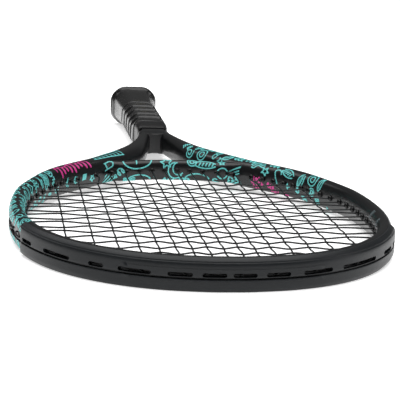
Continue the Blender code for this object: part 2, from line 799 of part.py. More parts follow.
# ---------------------------------------------------------------- handle
def make_pallet(name, side):
    """Half of the moulded handle, above or below the legs."""
    rings = []
    for (y, a, b), (wide, high) in zip(PALLET, CHANNEL):
        across, up = FRONT_CORNER if y == PALLET[0][0] else HANDLE_CORNER
        outer = [Vector((a, y, GAP / 2)), Vector((a, y, up * b)), Vector((across * a, y, b))]
        across, up = CHANNEL_CORNER
        inner = [Vector((-wide, y, GAP / 2)), Vector((-wide, y, up * high)), Vector((-across * wide, y, high))]
        ring = outer + [Vector((-p.x, y, p.z)) for p in reversed(outer)]
        ring += inner + [Vector((-p.x, y, p.z)) for p in reversed(inner)]
        rings.append([Vector((p.x, p.y, side * p.z)) for p in ring])
    return add(name, loft(name, rings), PALLET_FOAM)


def staple_route(side):
    """A staple driven through the cap's flank into the pallets: leg, crown, leg."""
    crown = side * (CAP[0][1] - STAPLE_WIRE)
    tip = side * (CAP[0][1] - STAPLE_LEG)
    near, far = STAPLE_Y - STAPLE_HALF, STAPLE_Y + STAPLE_HALF
    return [Vector((x, y, STAPLE_Z)) for x, y in ((tip, near), (crown, near), (crown, far), (tip, far))]


def make_staples(pieces):
    """The two wire staples, and their holes in the pieces that they fasten."""
    rooms = []
    for name, side in (("left_staple", -1), ("right_staple", 1)):
        route = [(place, 1.0) for place in staple_route(side)]
        add(name, wire(name, [route], STAPLE_WIRE), STAPLE_STEEL)
        inward = Vector((-side * GAP, 0, 0))
        rooms.append([(route[0][0] + inward, 1.0)] + route[1:3] + [(route[3][0] + inward, 1.0)])
    room = add_cutter("staple_room", solid_wire("staple_room", rooms, STAPLE_ROOM))
    for piece in pieces:
        boolean(piece, room, "DIFFERENCE")


def make_cap():
    """The flared butt cap: a cup over the pallets with a hatch in its end."""
    rings = [octagon(y, a, b, handle_corner(y)) for y, a, b in CAP]
    cap = add("butt_cap", loft("butt_cap", rings), CAP_PLASTIC)
    front = CAP[0][0]
    floor = BUTT_Y - CAP_FLOOR
    room = [octagon(front - 0.002, PALLET[-1][1] + GAP, PALLET[-1][2] + GAP),
            octagon(PALLET_BACK + GAP, PALLET[-1][1] + GAP, PALLET[-1][2] + GAP),
            octagon(PALLET_BACK + 0.0012, PALLET[-1][1] - 0.0010, PALLET[-1][2] - 0.0010),
            octagon(floor, PALLET[-1][1] - 0.0010, PALLET[-1][2] - 0.0010)]
    boolean(cap, add_cutter("cap_room", loft("cap_room", room)), "DIFFERENCE")
    hatch = [octagon(y, DOOR_HALF[0] + GAP, DOOR_HALF[1] + GAP) for y in (floor - 0.003, BUTT_Y + 0.002)]
    boolean(cap, add_cutter("cap_hatch", loft("cap_hatch", hatch)), "DIFFERENCE")
    return cap


def make_door():
    """The plug in the cap's end: a plate with a skirt behind it."""
    a, b = DOOR_HALF
    front = BUTT_Y - CAP_FLOOR - DOOR_SKIRT
    plate = BUTT_Y - 0.0004
    place = Vector((0, BUTT_Y, 0))
    rings = [octagon(y - BUTT_Y, a, b) for y in (front, plate)]
    door = add("trap_door", loft("trap_door", rings), CAP_PLASTIC, place)
    room = [octagon(y, a - 0.0014, b - 0.0014) for y in (front - 0.001, BUTT_Y - CAP_FLOOR)]
    boolean(door, add_cutter("door_room", loft("door_room", room)), "DIFFERENCE")
    return door


def make_tape():
    y0, y1 = TAPE_Y
    stations = []
    for y in (y0, y1):
        part = (y - WRAP[0][0]) / (WRAP[1][0] - WRAP[0][0])
        stations.append((y, *[low + (high - low) * part + WRAP_THICK + GAP
                              for low, high in zip(WRAP[0][1:], WRAP[1][1:])]))
    return add("finishing_tape", sleeve("finishing_tape", stations, TAPE_THICK), TAPE_VINYL)


def make_collar():
    """The rubber sleeve over the front of the grip; it slides on the neck."""
    middle = (COLLAR[0][0] + COLLAR[-1][0]) / 2
    stations = [(y - middle, a - COLLAR_WALL, b - COLLAR_WALL) for y, a, b in COLLAR]
    return add("grip_collar", sleeve("grip_collar", stations, COLLAR_WALL, NECK_CORNER), COLLAR_RUBBER, (0, middle, 0))


def make_plug(name, side):
    """A foam plug in the open end of a leg."""
    end = Station(PATH_LENGTH)
    w = end.half_width - TUBE_WALL - 0.0005
    h = end.half_height - TUBE_WALL - 0.0005
    back = end.centre.y - 0.0005
    rings = []
    for y in (back - PLUG_LENGTH, back):
        corners = [(w, 0.4 * h), (0.4 * w, h), (-0.4 * w, h), (-w, 0.4 * h)]
        corners += [(x, -z) for x, z in reversed(corners)]
        rings.append([Vector((side * end.centre.x + x, y, z)) for x, z in corners])
    return add(name, loft(name, rings), PLUG_FOAM)


# ---------------------------------------------------------------- assembly
make_frame()
HAIRPIN_ROOM = make_hairpin_cutter()
make_bridge(HAIRPIN_ROOM)
make_neck()
make_bumper()
make_side_strip("left_grommet_strip", -1)
make_side_strip("right_grommet_strip", 1)
make_throat_strip()
make_string("main_string", list(reversed(main_half(-1))) + main_half(1))
make_string("cross_string", cross_route())
UPPER_PALLET = make_pallet("upper_pallet", 1)
make_pallet("lower_pallet", -1)
CAP_CUP = make_cap()
make_staples((UPPER_PALLET, CAP_CUP))
make_door()
add("grip_wrap", sleeve("grip_wrap", WRAP, WRAP_THICK), GRIP_LEATHER)
make_tape()
make_collar()
make_plug("left_tube_plug", -1)
make_plug("right_tube_plug", 1)
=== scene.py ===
"""What the tennis racket looks like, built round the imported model's bodies.

Lengths are metres. Shapes are laid out from the centre of the head, in the string plane: x to the right,
y towards the butt, z up. add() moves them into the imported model's frame. The hairpin's path, the string
holes and the strings' routes repeat the CAD source, which this script can't read.
"""
import math
import random

import bmesh
import bpy
from mathutils import Matrix, Vector


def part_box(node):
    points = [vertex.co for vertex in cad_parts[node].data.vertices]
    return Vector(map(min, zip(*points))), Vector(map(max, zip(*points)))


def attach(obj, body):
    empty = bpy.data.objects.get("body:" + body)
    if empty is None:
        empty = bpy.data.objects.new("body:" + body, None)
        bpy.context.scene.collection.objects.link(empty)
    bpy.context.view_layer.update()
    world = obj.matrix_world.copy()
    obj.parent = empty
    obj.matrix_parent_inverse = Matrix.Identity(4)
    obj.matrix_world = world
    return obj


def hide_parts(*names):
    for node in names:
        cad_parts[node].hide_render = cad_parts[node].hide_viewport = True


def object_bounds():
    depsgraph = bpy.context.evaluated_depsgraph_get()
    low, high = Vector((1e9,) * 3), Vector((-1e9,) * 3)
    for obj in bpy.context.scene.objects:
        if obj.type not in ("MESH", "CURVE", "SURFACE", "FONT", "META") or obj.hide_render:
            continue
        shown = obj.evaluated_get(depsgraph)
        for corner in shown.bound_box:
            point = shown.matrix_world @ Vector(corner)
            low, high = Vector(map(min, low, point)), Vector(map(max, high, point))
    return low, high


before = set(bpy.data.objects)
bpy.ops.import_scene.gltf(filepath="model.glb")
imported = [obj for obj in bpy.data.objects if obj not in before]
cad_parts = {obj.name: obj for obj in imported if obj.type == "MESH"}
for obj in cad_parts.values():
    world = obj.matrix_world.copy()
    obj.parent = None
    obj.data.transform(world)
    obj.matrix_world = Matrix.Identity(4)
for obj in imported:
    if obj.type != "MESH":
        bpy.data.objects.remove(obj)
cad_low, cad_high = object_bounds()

LENGTH = cad_high.y - cad_low.y
TIP_TO_CENTRE = 0.1770          # from the head's centre to the outside of the bumper at the tip
BUTT_Y = LENGTH - TIP_TO_CENTRE
GAP = 0.0003
frame_low, frame_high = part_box("frame")
HEAD = Vector((0, cad_low.y + TIP_TO_CENTRE, (frame_low[2] + frame_high[2]) / 2))

# The hairpin tube: the middle line of its hoop is an egg-shaped superellipse.
HOOP_HALF_WIDTH = 0.1320
HOOP_TIP = 0.1692
HOOP_THROAT = 0.1635
HOOP_POWER = 2.16
HOOP_EGG = 0.10
HOOP_LAST_ANGLE = 22            # degrees past the widest point, where the shoulder takes over
HOOP_TUBE = 0.0059              # half of the tube's width across the hoop
BEAM = 0.0115                   # half of the tube's height
# Shoulder, shaft and handle of the right leg: x, y, and the tube's half width and half height.
LEG_STATIONS = [
    (0.1098, 0.0860, 0.0067, 0.0115),
    (0.0957, 0.1110, 0.0083, 0.0115),
    (0.0762, 0.1345, 0.0098, 0.0115),
    (0.0645, 0.1480, 0.0101, 0.0115),
    (0.0537, 0.1645, 0.0100, 0.0115),
    (0.0412, 0.1850, 0.0100, 0.0114),
    (0.0271, 0.2125, 0.0096, 0.0112),
    (0.0188, 0.2412, 0.0073, 0.0109),
    (0.0146, 0.2605, 0.0061, 0.0106),
    (0.0113, 0.2760, 0.0057, 0.0104),
    (0.0092, 0.2860, 0.0055, 0.0103),
    (0.0070, 0.2990, 0.0053, 0.0100),
    (0.0060, 0.3150, 0.0055, 0.0096),
    (0.0059, 0.3300, 0.00573, 0.0094),
    (0.0059, 0.4995, 0.00573, 0.0094),
]
RING_STEP = 0.0165              # between the tube's sections
STRAIGHT_Y = 0.3300             # from here to the end the legs are straight
GROOVE_DEPTH = 0.0030           # string groove round the outside of the hoop
GROOVE_HALF = 0.0034
GROOVE_FADE = 0.0180            # length over which the groove runs out on the shoulder

# The bridge closes the head above the throat.
BRIDGE_HALF_WIDTH = 0.1260      # its inner face carries on the hoop's inner outline
BRIDGE_INNER = 0.1535
BRIDGE_BACK = 0.1633
BRIDGE_BACK_DROP = 0.0047       # how far its back face falls away at BRIDGE_BACK_AT
BRIDGE_BACK_AT = 0.0415
BRIDGE_REACH = 0.0620
BRIDGE_HALF_HEIGHT = 0.0085
BRIDGE_GROOVE = 0.0028
BRIDGE_FAN = 0.19               # how far its outer holes lean towards the middle

# Strings
STRING_R = 0.00065
WEAVE = 0.0008                  # height of a string's middle over a crossing
MAIN_X = [0.0053, 0.0162, 0.0269, 0.0387, 0.0516, 0.0658, 0.0815, 0.1000]
BRIDGE_MAINS = 5                # the inner mains of each side that end in the bridge
CROSS_Y = [-0.1450, -0.1325, -0.1187, -0.1037, -0.0892, -0.0743, -0.0601, -0.0465, -0.0334, -0.0215,
           -0.0091, 0.0027, 0.0149, 0.0275, 0.0400, 0.0532, 0.0667, 0.0821, 0.0984]
MIN_HOLE_STEP = 0.0070          # between neighbouring holes along the tube
LOOP_SIDE = 0.0016              # mains loop on the upper side of the groove, crosses on the lower
LOOP_RISE = 0.00095             # of a loop's middle above the grommet base
LOOP_LEAD = 0.0026              # from a hole to where its loop reaches its side of the groove
LOOP_STEP = 0.0090              # between a loop's points
STRING_STEP = 0.0022            # between the sections of a modelled string
KNOT_RADIUS = 0.00115

# Grommets
GROMMET_BEAD = 0.0011           # how far a grommet's tip stands out inside the head
GROMMET_BASE = 0.0008
GROMMET_BASE_HALF = 0.0026
MOUTH_CLEAR = 0.0006            # from a grommet's tip to where its string may bend

# Bumper
BUMPER_END_Y = -0.0770
BUMPER_THICK = 0.0018
BUMPER_HALF = 0.0104
STRIP_GAP = 0.0010              # between the bumper's ends and the side grommet strips

# Neck and handle: y, half width, half height
HANDLE_CORNER = (0.56, 0.46)    # bevels of the handle's octagon, in half widths and half heights
FRONT_CORNER = (0.80, 0.70)     # the same at the handle's front end, where it meets the shafts
FLARE_CORNER = (0.59, 0.53)     # and at the flared butt
CORNERS = [(0.3150, FRONT_CORNER), (0.3450, HANDLE_CORNER), (0.4880, HANDLE_CORNER), (0.4990, FLARE_CORNER)]
PALLET_BACK = 0.4990
PALLET = [(0.3150, 0.0123, 0.0108), (0.3450, 0.0146, 0.0133), (PALLET_BACK, 0.0153, 0.0136)]
CAP = [(0.4780, 0.0166, 0.0149), (0.4880, 0.0168, 0.0151), (0.4990, 0.0210, 0.0181),
       (0.5075, 0.0210, 0.0181), (BUTT_Y, 0.0201, 0.0172)]
CAP_FLOOR = 0.0022              # thickness of the cap's end wall
WRAP_THICK = 0.0014
WRAP = [(0.3160, 0.0127, 0.0112), (0.3450, 0.0149, 0.0136), (0.4740, 0.0156, 0.0139),
        (0.4780, 0.0169, 0.0152), (0.4880, 0.0171, 0.0154), (0.4990, 0.0216, 0.0187),
        (0.5055, 0.0216, 0.0187)]
COLLAR_BACK = 0.3225
COLLAR = [(0.3040, 0.0136, 0.0114), (0.3070, 0.0143, 0.0122), (0.3160, 0.0152, 0.0138),
          (COLLAR_BACK, 0.0158, 0.0145)]
DOOR_HALF = (0.0105, 0.0085)    # the trap door in the cap's end
DOOR_SKIRT = 0.0040

PATH_SAMPLES = 24               # points worked out between two of the path's stations


# ---------------------------------------------------------------- materials
def look(name, dark, light, rough, grain, bump, coarse=30, wear=0, worn=None, metallic=0, specular=0.5):
    """A two-tone material with fine grain, larger patches, uneven gloss and worn edges."""
    made = bpy.data.materials.new(name)
    made.use_nodes = True
    tree = made.node_tree

    def fill_in(sockets, values):
        """Sets a socket to a value, or links it to another node's output."""
        for key, value in values.items():
            if isinstance(value, bpy.types.NodeSocket):
                tree.links.new(value, sockets[key])
            else:
                sockets[key].default_value = value

    def node(kind, values, output=0, **settings):
        """The output of a new shader node."""
        fresh = tree.nodes.new("ShaderNode" + kind)
        for key, value in settings.items():
            setattr(fresh, key, value)
        fill_in(fresh.inputs, values)
        return fresh.outputs[output]

    place = node("TexCoord", {}, "Object")
    patches = node("TexNoise", {"Vector": place, "Scale": coarse, "Detail": 5}, "Fac")
    fine = node("TexNoise", {"Vector": place, "Scale": grain, "Detail": 3}, "Fac")
    fine_half = node("Math", {0: fine, 1: 0.5}, operation="MULTIPLY")
    mixed = node("Math", {0: patches, 1: 0.5, 2: fine_half}, operation="MULTIPLY_ADD")
    colour = node("Mix", {0: mixed, 6: (*dark, 1), 7: (*light, 1)}, 2, data_type="RGBA")
    if wear:
        pointed = node("NewGeometry", {}, "Pointiness")
        edge = node("MapRange", {"Value": pointed, "From Min": 0.53, "From Max": 0.62, "To Max": wear})
        broken = node("Math", {0: edge, 1: fine}, operation="MULTIPLY")
        colour = node("Mix", {0: broken, 6: colour, 7: (*worn, 1)}, 2, data_type="RGBA")
    gloss = node("MapRange", {"Value": patches, "To Min": rough[0], "To Max": rough[1]})
    raised = node("Bump", {"Height": fine, "Strength": bump, "Distance": 0.0004})
    fill_in(tree.nodes["Principled BSDF"].inputs,
            {"Base Color": colour, "Roughness": gloss, "Normal": raised, "Metallic": metallic,
             "Specular IOR Level": specular})
    return made


def ink(name, dark, light):
    """The look of a printed colour."""
    return look(name, dark, light, (0.35, 0.48), 700, 0.04, 60, specular=0.35)


PAINT = look("frame_paint", (0.0048, 0.0052, 0.0058), (0.0066, 0.0071, 0.0078), (0.26, 0.3), 900, 0.02, 14,
             wear=0.1, worn=(0.05, 0.05, 0.055), specular=0.42)
BUMPER_NYLON = look("bumper_nylon", (0.005, 0.0062, 0.0075), (0.0085, 0.0105, 0.0125), (0.36, 0.46), 1400,
                    0.2, 45, wear=0.3, worn=(0.055, 0.058, 0.062), specular=0.3)
GROMMET_NYLON = look("grommet_nylon", (0.003, 0.003, 0.0035), (0.0055, 0.0055, 0.006), (0.25, 0.38), 1500,
                     0.1, 80, wear=0.1, worn=(0.03, 0.03, 0.03), specular=0.35)
TURQUOISE = ink("print_turquoise", (0.12, 0.56, 0.545), (0.18, 0.68, 0.655))
PINK = ink("print_pink", (0.56, 0.036, 0.23), (0.7, 0.06, 0.31))
GREY_PRINT = ink("print_grey", (0.065, 0.085, 0.092), (0.09, 0.115, 0.122))
STRING_CORE = look("string_polyester", (0.0045, 0.005, 0.0055), (0.009, 0.01, 0.011), (0.28, 0.4), 1800,
                   0.12, 120, wear=0.1, worn=(0.04, 0.04, 0.04), specular=0.3)
GRIP_SKIN = look("grip_polyurethane", (0.005, 0.005, 0.0052), (0.008, 0.008, 0.008), (0.2, 0.3), 1900, 0.16,
                 70, wear=0.12, worn=(0.045, 0.045, 0.043), specular=0.42)
GRIP_MARK = look("grip_emboss", (0.06, 0.058, 0.05), (0.085, 0.082, 0.07), (0.4, 0.55), 1500, 0.2, 90,
                 specular=0.3)
COLLAR_RUBBER = look("collar_rubber", (0.004, 0.004, 0.0045), (0.007, 0.007, 0.0075), (0.3, 0.4), 1600, 0.1,
                     50, wear=0.1, worn=(0.03, 0.03, 0.03), specular=0.4)
CAP_PLASTIC = look("cap_plastic", (0.0085, 0.0085, 0.0095), (0.014, 0.014, 0.0155), (0.32, 0.45), 1200, 0.2,
                   60, wear=0.3, worn=(0.06, 0.06, 0.06), specular=0.4)
TAPE_VINYL = look("tape_vinyl", (0.01, 0.01, 0.011), (0.016, 0.016, 0.018), (0.3, 0.45), 900, 0.1, 90)
PALLET_FOAM = look("pallet_foam", (0.5, 0.45, 0.33), (0.62, 0.57, 0.44), (0.7, 0.9), 1300, 0.6, 90)
STAPLE_STEEL = look("staple_steel", (0.5, 0.51, 0.53), (0.62, 0.63, 0.65), (0.2, 0.4), 900, 0.1, 200,
                    metallic=1.0)
PLUG_FOAM = look("plug_foam", (0.07, 0.07, 0.08), (0.13, 0.13, 0.14), (0.8, 0.95), 1100, 0.7, 120)


# ---------------------------------------------------------------- mesh tools
def clamped(value):
    return min(1.0, max(0.0, value))


def eased(share):
    """A share from 0 to 1 with a soft start and end."""
    share = clamped(share)
    return share * share * (3 - 2 * share)


def squared(value, size, power):
    """The size times a cosine or sine, pushed outwards as in a superellipse of a power."""
    return math.copysign(size * abs(value) ** (2 / power), value)


def spread(start, end, steps):
    """Even values from start to end, one more than steps."""
    return [start + (end - start) * i / steps for i in range(steps + 1)]


def skin(rings, capped=True, closed=False):
    """Vertices and faces of a tube through rings of equal length."""
    count = len(rings[0])
    points = [p for ring in rings for p in ring]
    faces = []
    for row in range(len(rings) if closed else len(rings) - 1):
        a, b = row * count, (row + 1) % len(rings) * count
        for i in range(count):
            j = (i + 1) % count
            faces.append((a + i, a + j, b + j, b + i))
    if capped:
        faces.append(tuple(range(count)))
        faces.append(tuple(range((len(rings) - 1) * count, len(rings) * count)))
    return points, faces


def circle(centre, across, up, radius, sides):
    """Points round a centre, in the plane of two directions."""
    turns = [2 * math.pi * k / sides for k in range(sides)]
    return [centre + (across * math.cos(turn) + up * math.sin(turn)) * radius for turn in turns]


def sweep(points, radius, sides):
    """A round tube along points, its section carried along without twisting."""
    rings = []
    normal = None
    for i, here in enumerate(points):
        ahead = (points[min(i + 1, len(points) - 1)] - points[max(i - 1, 0)]).normalized()
        if normal is None:
            normal = ahead.orthogonal().normalized()
        normal = (normal - ahead * normal.dot(ahead)).normalized()
        rings.append(circle(here, normal, ahead.cross(normal), radius, sides))
    return skin(rings)


def join(parts):
    """Several (points, faces) as one."""
    points, faces = [], []
    for more_points, more_faces in parts:
        base = len(points)
        points += more_points
        faces += [tuple(base + i for i in face) for face in more_faces]
    return points, faces


def shade(mesh, sharp):
    """Smooth, except along edges that turn by more than sharp, in degrees."""
    mesh.polygons.foreach_set("use_smooth", [True] * len(mesh.polygons))
    mesh.set_sharp_from_angle(angle=math.radians(sharp))


def build_mesh(name, shape, sharp):
    """A mesh with outward normals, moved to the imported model's head."""
    points, faces = shape
    mesh = bpy.data.meshes.new(name)
    mesh.from_pydata([p + HEAD for p in points], [], faces)
    work = bmesh.new()
    work.from_mesh(mesh)
    bmesh.ops.recalc_face_normals(work, faces=work.faces)
    work.to_mesh(mesh)
    work.free()
    shade(mesh, sharp)
    mesh.update()
    return mesh


def add(name, shape, material, replaces=(), body="racket", sharp=35):
    """A visible piece that rides on a body and may stand for CAD nodes."""
    made = bpy.data.objects.new(name, build_mesh(name, shape, sharp))
    bpy.context.scene.collection.objects.link(made)
    made.data.materials.append(material)
    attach(made, body)
    if replaces:
        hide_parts(*replaces)
    return made


def cut(piece, shape):
    """Cuts closed shapes out of a piece and applies the result."""
    tool = bpy.data.objects.new("cutter", build_mesh("cutter", shape, 35))
    bpy.context.scene.collection.objects.link(tool)
    step = piece.modifiers.new("cut", "BOOLEAN")
    step.operation = "DIFFERENCE"
    step.solver = "EXACT"
    step.use_self = True
    step.object = tool
    bpy.context.view_layer.update()
    seen = piece.evaluated_get(bpy.context.evaluated_depsgraph_get())
    mesh = bpy.data.meshes.new_from_object(seen)
    piece.modifiers.remove(step)
    piece.data = mesh
    shade(mesh, 35)
    bpy.data.objects.remove(tool)


def centripetal(points, step):
    """A smooth curve through points that doesn't overshoot at tight bends, in pieces of about step."""
    ends = [points[0] * 2 - points[1]] + points + [points[-1] * 2 - points[-2]]
    found = []
    for p0, p1, p2, p3 in zip(ends, ends[1:], ends[2:], ends[3:]):
        knots = [0.0]
        for a, b in ((p0, p1), (p1, p2), (p2, p3)):
            knots.append(knots[-1] + max(1e-5, (b - a).length ** 0.5))
        t0, t1, t2, t3 = knots
        count = max(1, math.ceil((p2 - p1).length / step))
        for i in range(count):
            t = t1 + (t2 - t1) * i / count
            a1 = p0 * ((t1 - t) / (t1 - t0)) + p1 * ((t - t0) / (t1 - t0))
            a2 = p1 * ((t2 - t) / (t2 - t1)) + p2 * ((t - t1) / (t2 - t1))
            a3 = p2 * ((t3 - t) / (t3 - t2)) + p3 * ((t - t2) / (t3 - t2))
            b1 = a1 * ((t2 - t) / (t2 - t0)) + a2 * ((t - t0) / (t2 - t0))
            b2 = a2 * ((t3 - t) / (t3 - t1)) + a3 * ((t - t1) / (t3 - t1))
            found.append(b1 * ((t2 - t) / (t2 - t1)) + b2 * ((t - t1) / (t2 - t1)))
    return found + [points[-1]]


# ---------------------------------------------------------------- the hairpin's path
def oval(angle, half_width, half_length):
    """A point of the head's outline; -90 degrees is the tip and 0 the widest part."""
    c, s = math.cos(math.radians(angle)), math.sin(math.radians(angle))
    return squared(c, half_width, HOOP_POWER) * (1 - HOOP_EGG * s), squared(s, half_length, HOOP_POWER)


def hoop_stations():
    """Stations of the right half of the hoop, from just past the tip."""
    found = []
    for angle in range(-85, HOOP_LAST_ANGLE + 1, 9):
        half_length = HOOP_TIP if angle < 0 else HOOP_THROAT
        found.append((*oval(angle, HOOP_HALF_WIDTH, half_length), HOOP_TUBE, BEAM))
    return found


def spline(p0, p1, p2, p3, t):
    """Catmull-Rom between p1 and p2."""
    return [0.5 * (2 * b + (c - a) * t + (2 * a - 5 * b + 4 * c - d) * t * t
                   + (3 * b - a - 3 * c + d) * t ** 3) for a, b, c, d in zip(p0, p1, p2, p3)]


def sample_path():
    """Right half of the hairpin as (distance from the tip, x, y, half width, half height)."""
    tip = (0.0, -HOOP_TIP, HOOP_TUBE, BEAM)
    right = hoop_stations() + LEG_STATIONS
    before = (-right[0][0], *right[0][1:])
    after = (right[-1][0], 2 * right[-1][1] - right[-2][1], *right[-1][2:])
    points = [before, tip] + right + [after]
    samples = []
    travelled = 0.0
    for i in range(1, len(points) - 2):
        for step in range(PATH_SAMPLES):
            here = spline(*points[i - 1:i + 3], step / PATH_SAMPLES)
            if samples:
                travelled += math.hypot(here[0] - samples[-1][1], here[1] - samples[-1][2])
            samples.append((travelled, *here))
    last = right[-1]
    travelled += math.hypot(last[0] - samples[-1][1], last[1] - samples[-1][2])
    samples.append((travelled, *last))
    return samples


PATH = sample_path()
PATH_LENGTH = PATH[-1][0]


class Station:
    """The hairpin's section at a signed distance from the tip, positive to the right."""

    def __init__(self, distance):
        reach = min(abs(distance), PATH_LENGTH)
        index = 1
        while PATH[index][0] < reach and index < len(PATH) - 1:
            index += 1
        low, high = PATH[index - 1], PATH[index]
        part = (reach - low[0]) / (high[0] - low[0])
        x, y, self.half_width, self.half_height = [a + (b - a) * part for a, b in zip(low[1:], high[1:])]
        ahead = Vector((high[1] - low[1], high[2] - low[2], 0)).normalized()
        if reach < PATH[1][0]:
            ahead = Vector((1, 0, 0))
        side = 1 if distance >= 0 else -1
        self.centre = Vector((side * x, y, 0))
        self.out = Vector((side * ahead.y, -ahead.x, 0))

    def at(self, out, up):
        """A point of the section, from its middle."""
        return self.centre + self.out * out + Vector((0, 0, up))

    def inner(self):
        return self.at(-self.half_width, 0)


def bisect(test, low, high):
    """Where a test turns from true to false."""
    for _ in range(40):
        middle = (low + high) / 2
        low, high = (middle, high) if test(middle) else (low, middle)
    return (low + high) / 2


def place_where(test, low, high):
    """The distance from the tip at which a test of the station turns from true to false."""
    return bisect(lambda distance: test(Station(distance)), low, high)


WIDEST = place_where(lambda s: s.centre.y < 0, 0, PATH_LENGTH)
SHOULDER = place_where(lambda s: s.centre.y < LEG_STATIONS[4][1], 0, PATH_LENGTH)


def hole_places():
    """Where each string end leaves the right half of the hairpin, as distances from the tip."""
    found = {}
    for i, x in enumerate(MAIN_X):
        found["tip", i] = place_where(lambda s: s.inner().x < x, 0, WIDEST)
        if i >= BRIDGE_MAINS:
            found["throat", i] = place_where(lambda s: s.inner().x > x, WIDEST, SHOULDER)
    for j, y in enumerate(CROSS_Y):
        found["cross", j] = place_where(lambda s: s.inner().y < y, 0, SHOULDER)
    found["main_tie", 0] = (found["throat", 6] + found["cross", 18]) / 2
    found["cross_tie", 0] = (found["throat", 5] + found["throat", 6]) / 2
    found["cross_tie", 1] = (found["tip", 4] + found["tip", 5]) / 2
    order = sorted(found, key=found.get)
    for _ in range(30):
        for near, far in zip(order, order[1:]):
            short = MIN_HOLE_STEP - (found[far] - found[near])
            if short > 0:
                found[near] -= short / 2
                found[far] += short / 2
    return found


HOLES = hole_places()
GROOVE_END = HOLES["throat", BRIDGE_MAINS] + 0.006
STRAIGHT = place_where(lambda s: s.centre.y < STRAIGHT_Y, SHOULDER, PATH_LENGTH)
RING_COUNT = round(STRAIGHT / RING_STEP)
RING_PITCH = STRAIGHT / RING_COUNT
BUMPER_END = RING_PITCH * round(place_where(lambda s: s.centre.y < BUMPER_END_Y, 0, WIDEST) / RING_PITCH)


def groove_depth(distance):
    past = (abs(distance) - GROOVE_END - RING_PITCH) / GROOVE_FADE
    return GROOVE_DEPTH * clamped(1 - past)


def all_holes():
    """The signed distance of every hole in the hairpin; each cross string tie-off is on one side only."""
    for (kind, index), distance in HOLES.items():
        for side in (1, -1):
            if kind != "cross_tie" or side == (-1 if index else 1):
                yield side * distance


def bridge_inner(x):
    """The y of the bridge's inner face, found on the head's inner outline."""
    angle = bisect(lambda turn: oval(turn, BRIDGE_HALF_WIDTH, BRIDGE_INNER)[0] > abs(x), 0.0, 90.0)
    return oval(angle, BRIDGE_HALF_WIDTH, BRIDGE_INNER)[1]


def bridge_back(x):
    return BRIDGE_BACK - BRIDGE_BACK_DROP * (x / BRIDGE_BACK_AT) ** 2


def bridge_hole(index):
    """Inner and outer mouth of a right-hand bridge hole; the outer ones fan in at the back."""
    x = MAIN_X[index]
    lean = BRIDGE_FAN * (x / MAIN_X[BRIDGE_MAINS - 1]) ** 2
    back_x = x * (1 - lean)
    return Vector((x, bridge_inner(x), 0)), Vector((back_x, bridge_back(back_x) - BRIDGE_GROOVE, 0))


def mirrored(point, side):
    """The same point on the right for side 1, on the left for side -1."""
    return Vector((side * point.x, point.y, point.z))


def grommet_floor(s):
    """How far out the underside and the top of a grommet base lie."""
    under = s.half_width - GROOVE_DEPTH + GAP
    return under, under + GROMMET_BASE


# ---------------------------------------------------------------- hairpin, bridge and neck
SECTION_POWER = 2.6             # how square the tube's section is
BRIDGE_POWER = 2.8              # how square the bridge's section is
BRIDGE_SINK = 0.0020            # how far past its reach it goes on inside the hoop
BRIDGE_MERGE = 0.0400           # from here outwards the bridge's inner face turns into the hoop's
SECTION_ARC = 15                # points of half a section, from the groove over the top to the inside
TUBE_STEP = 0.0025              # between the sections of the modelled tube
# The neck's wrap: y, half width, half height and how square it is.
NECK = [(0.2795, 0.0152, 0.0098, 3.2), (0.2815, 0.0160, 0.0105, 3.3), (0.2840, 0.0162, 0.0109, 3.5),
        (0.2870, 0.0160, 0.0111, 3.8), (0.2920, 0.0153, 0.0111, 4.0), (0.2975, 0.0145, 0.0110, 4.0),
        (0.2998, 0.0138, 0.0106, 3.8)]
WEB_HALF_WIDTH = 0.0105         # the web in the V, from the hollow face to its hidden back
WEB_FACE = 0.2745
WEB_HOLLOW = 0.0080
WEB_BACK = 0.3060
# Its layers upwards: height, and how far the face is set back there.
WEB_LAYERS = [(-0.0101, 0.0024), (-0.0097, 0.0012), (-0.0090, 0.0004), (-0.0080, 0.0), (0.0, 0.0),
              (0.0080, 0.0), (0.0090, 0.0004), (0.0097, 0.0012), (0.0101, 0.0024)]


def section(s, depth):
    """The upper half of the tube's section as (out, up), from the middle of the groove to the inside."""
    w, h = s.half_width, s.half_height

    def side(z):
        return w * (1 - (z / h) ** SECTION_POWER) ** (1 / SECTION_POWER)

    floor = GROOVE_HALF - 0.0003
    half = [(side(0) - depth, 0.0), (side(floor) - depth, floor - 0.0004),
            (side(floor) - 0.85 * depth, floor), (side(GROOVE_HALF) - 0.15 * depth, GROOVE_HALF),
            (side(GROOVE_HALF + 0.0003), GROOVE_HALF + 0.0003)]
    first = math.asin(((GROOVE_HALF + 0.0009) / h) ** (SECTION_POWER / 2))
    for i in range(SECTION_ARC + 1):
        turn = first + (math.pi - first) * i / SECTION_ARC
        half.append((squared(math.cos(turn), w, SECTION_POWER),
                     abs(squared(math.sin(turn), h, SECTION_POWER))))
    return half


def make_hairpin():
    rings = []
    half = [TUBE_STEP * i for i in range(1, int(PATH_LENGTH / TUBE_STEP))] + [PATH_LENGTH]
    for distance in [-d for d in reversed(half)] + [0.0] + half:
        s = Station(distance)
        upper = section(s, groove_depth(distance))
        ring = upper + [(n, -z) for n, z in reversed(upper[1:-1])]
        rings.append([s.at(n, z) for n, z in ring])
    add("hairpin_tube", skin(rings), PAINT, ("frame",), sharp=50)


def hoop_inside(x):
    """The y of the hoop's inner face beside the bridge."""
    return Station(place_where(lambda s: s.inner().x > abs(x), WIDEST, SHOULDER)).inner().y


def bridge_face(x):
    """The y of the bridge's inner face, which sinks into the hoop at its ends."""
    share = eased((abs(x) - BRIDGE_MERGE) / (BRIDGE_REACH + BRIDGE_SINK - BRIDGE_MERGE))
    own = bridge_inner(x)
    return own + (hoop_inside(x) + 0.0016 - own) * share if share else own


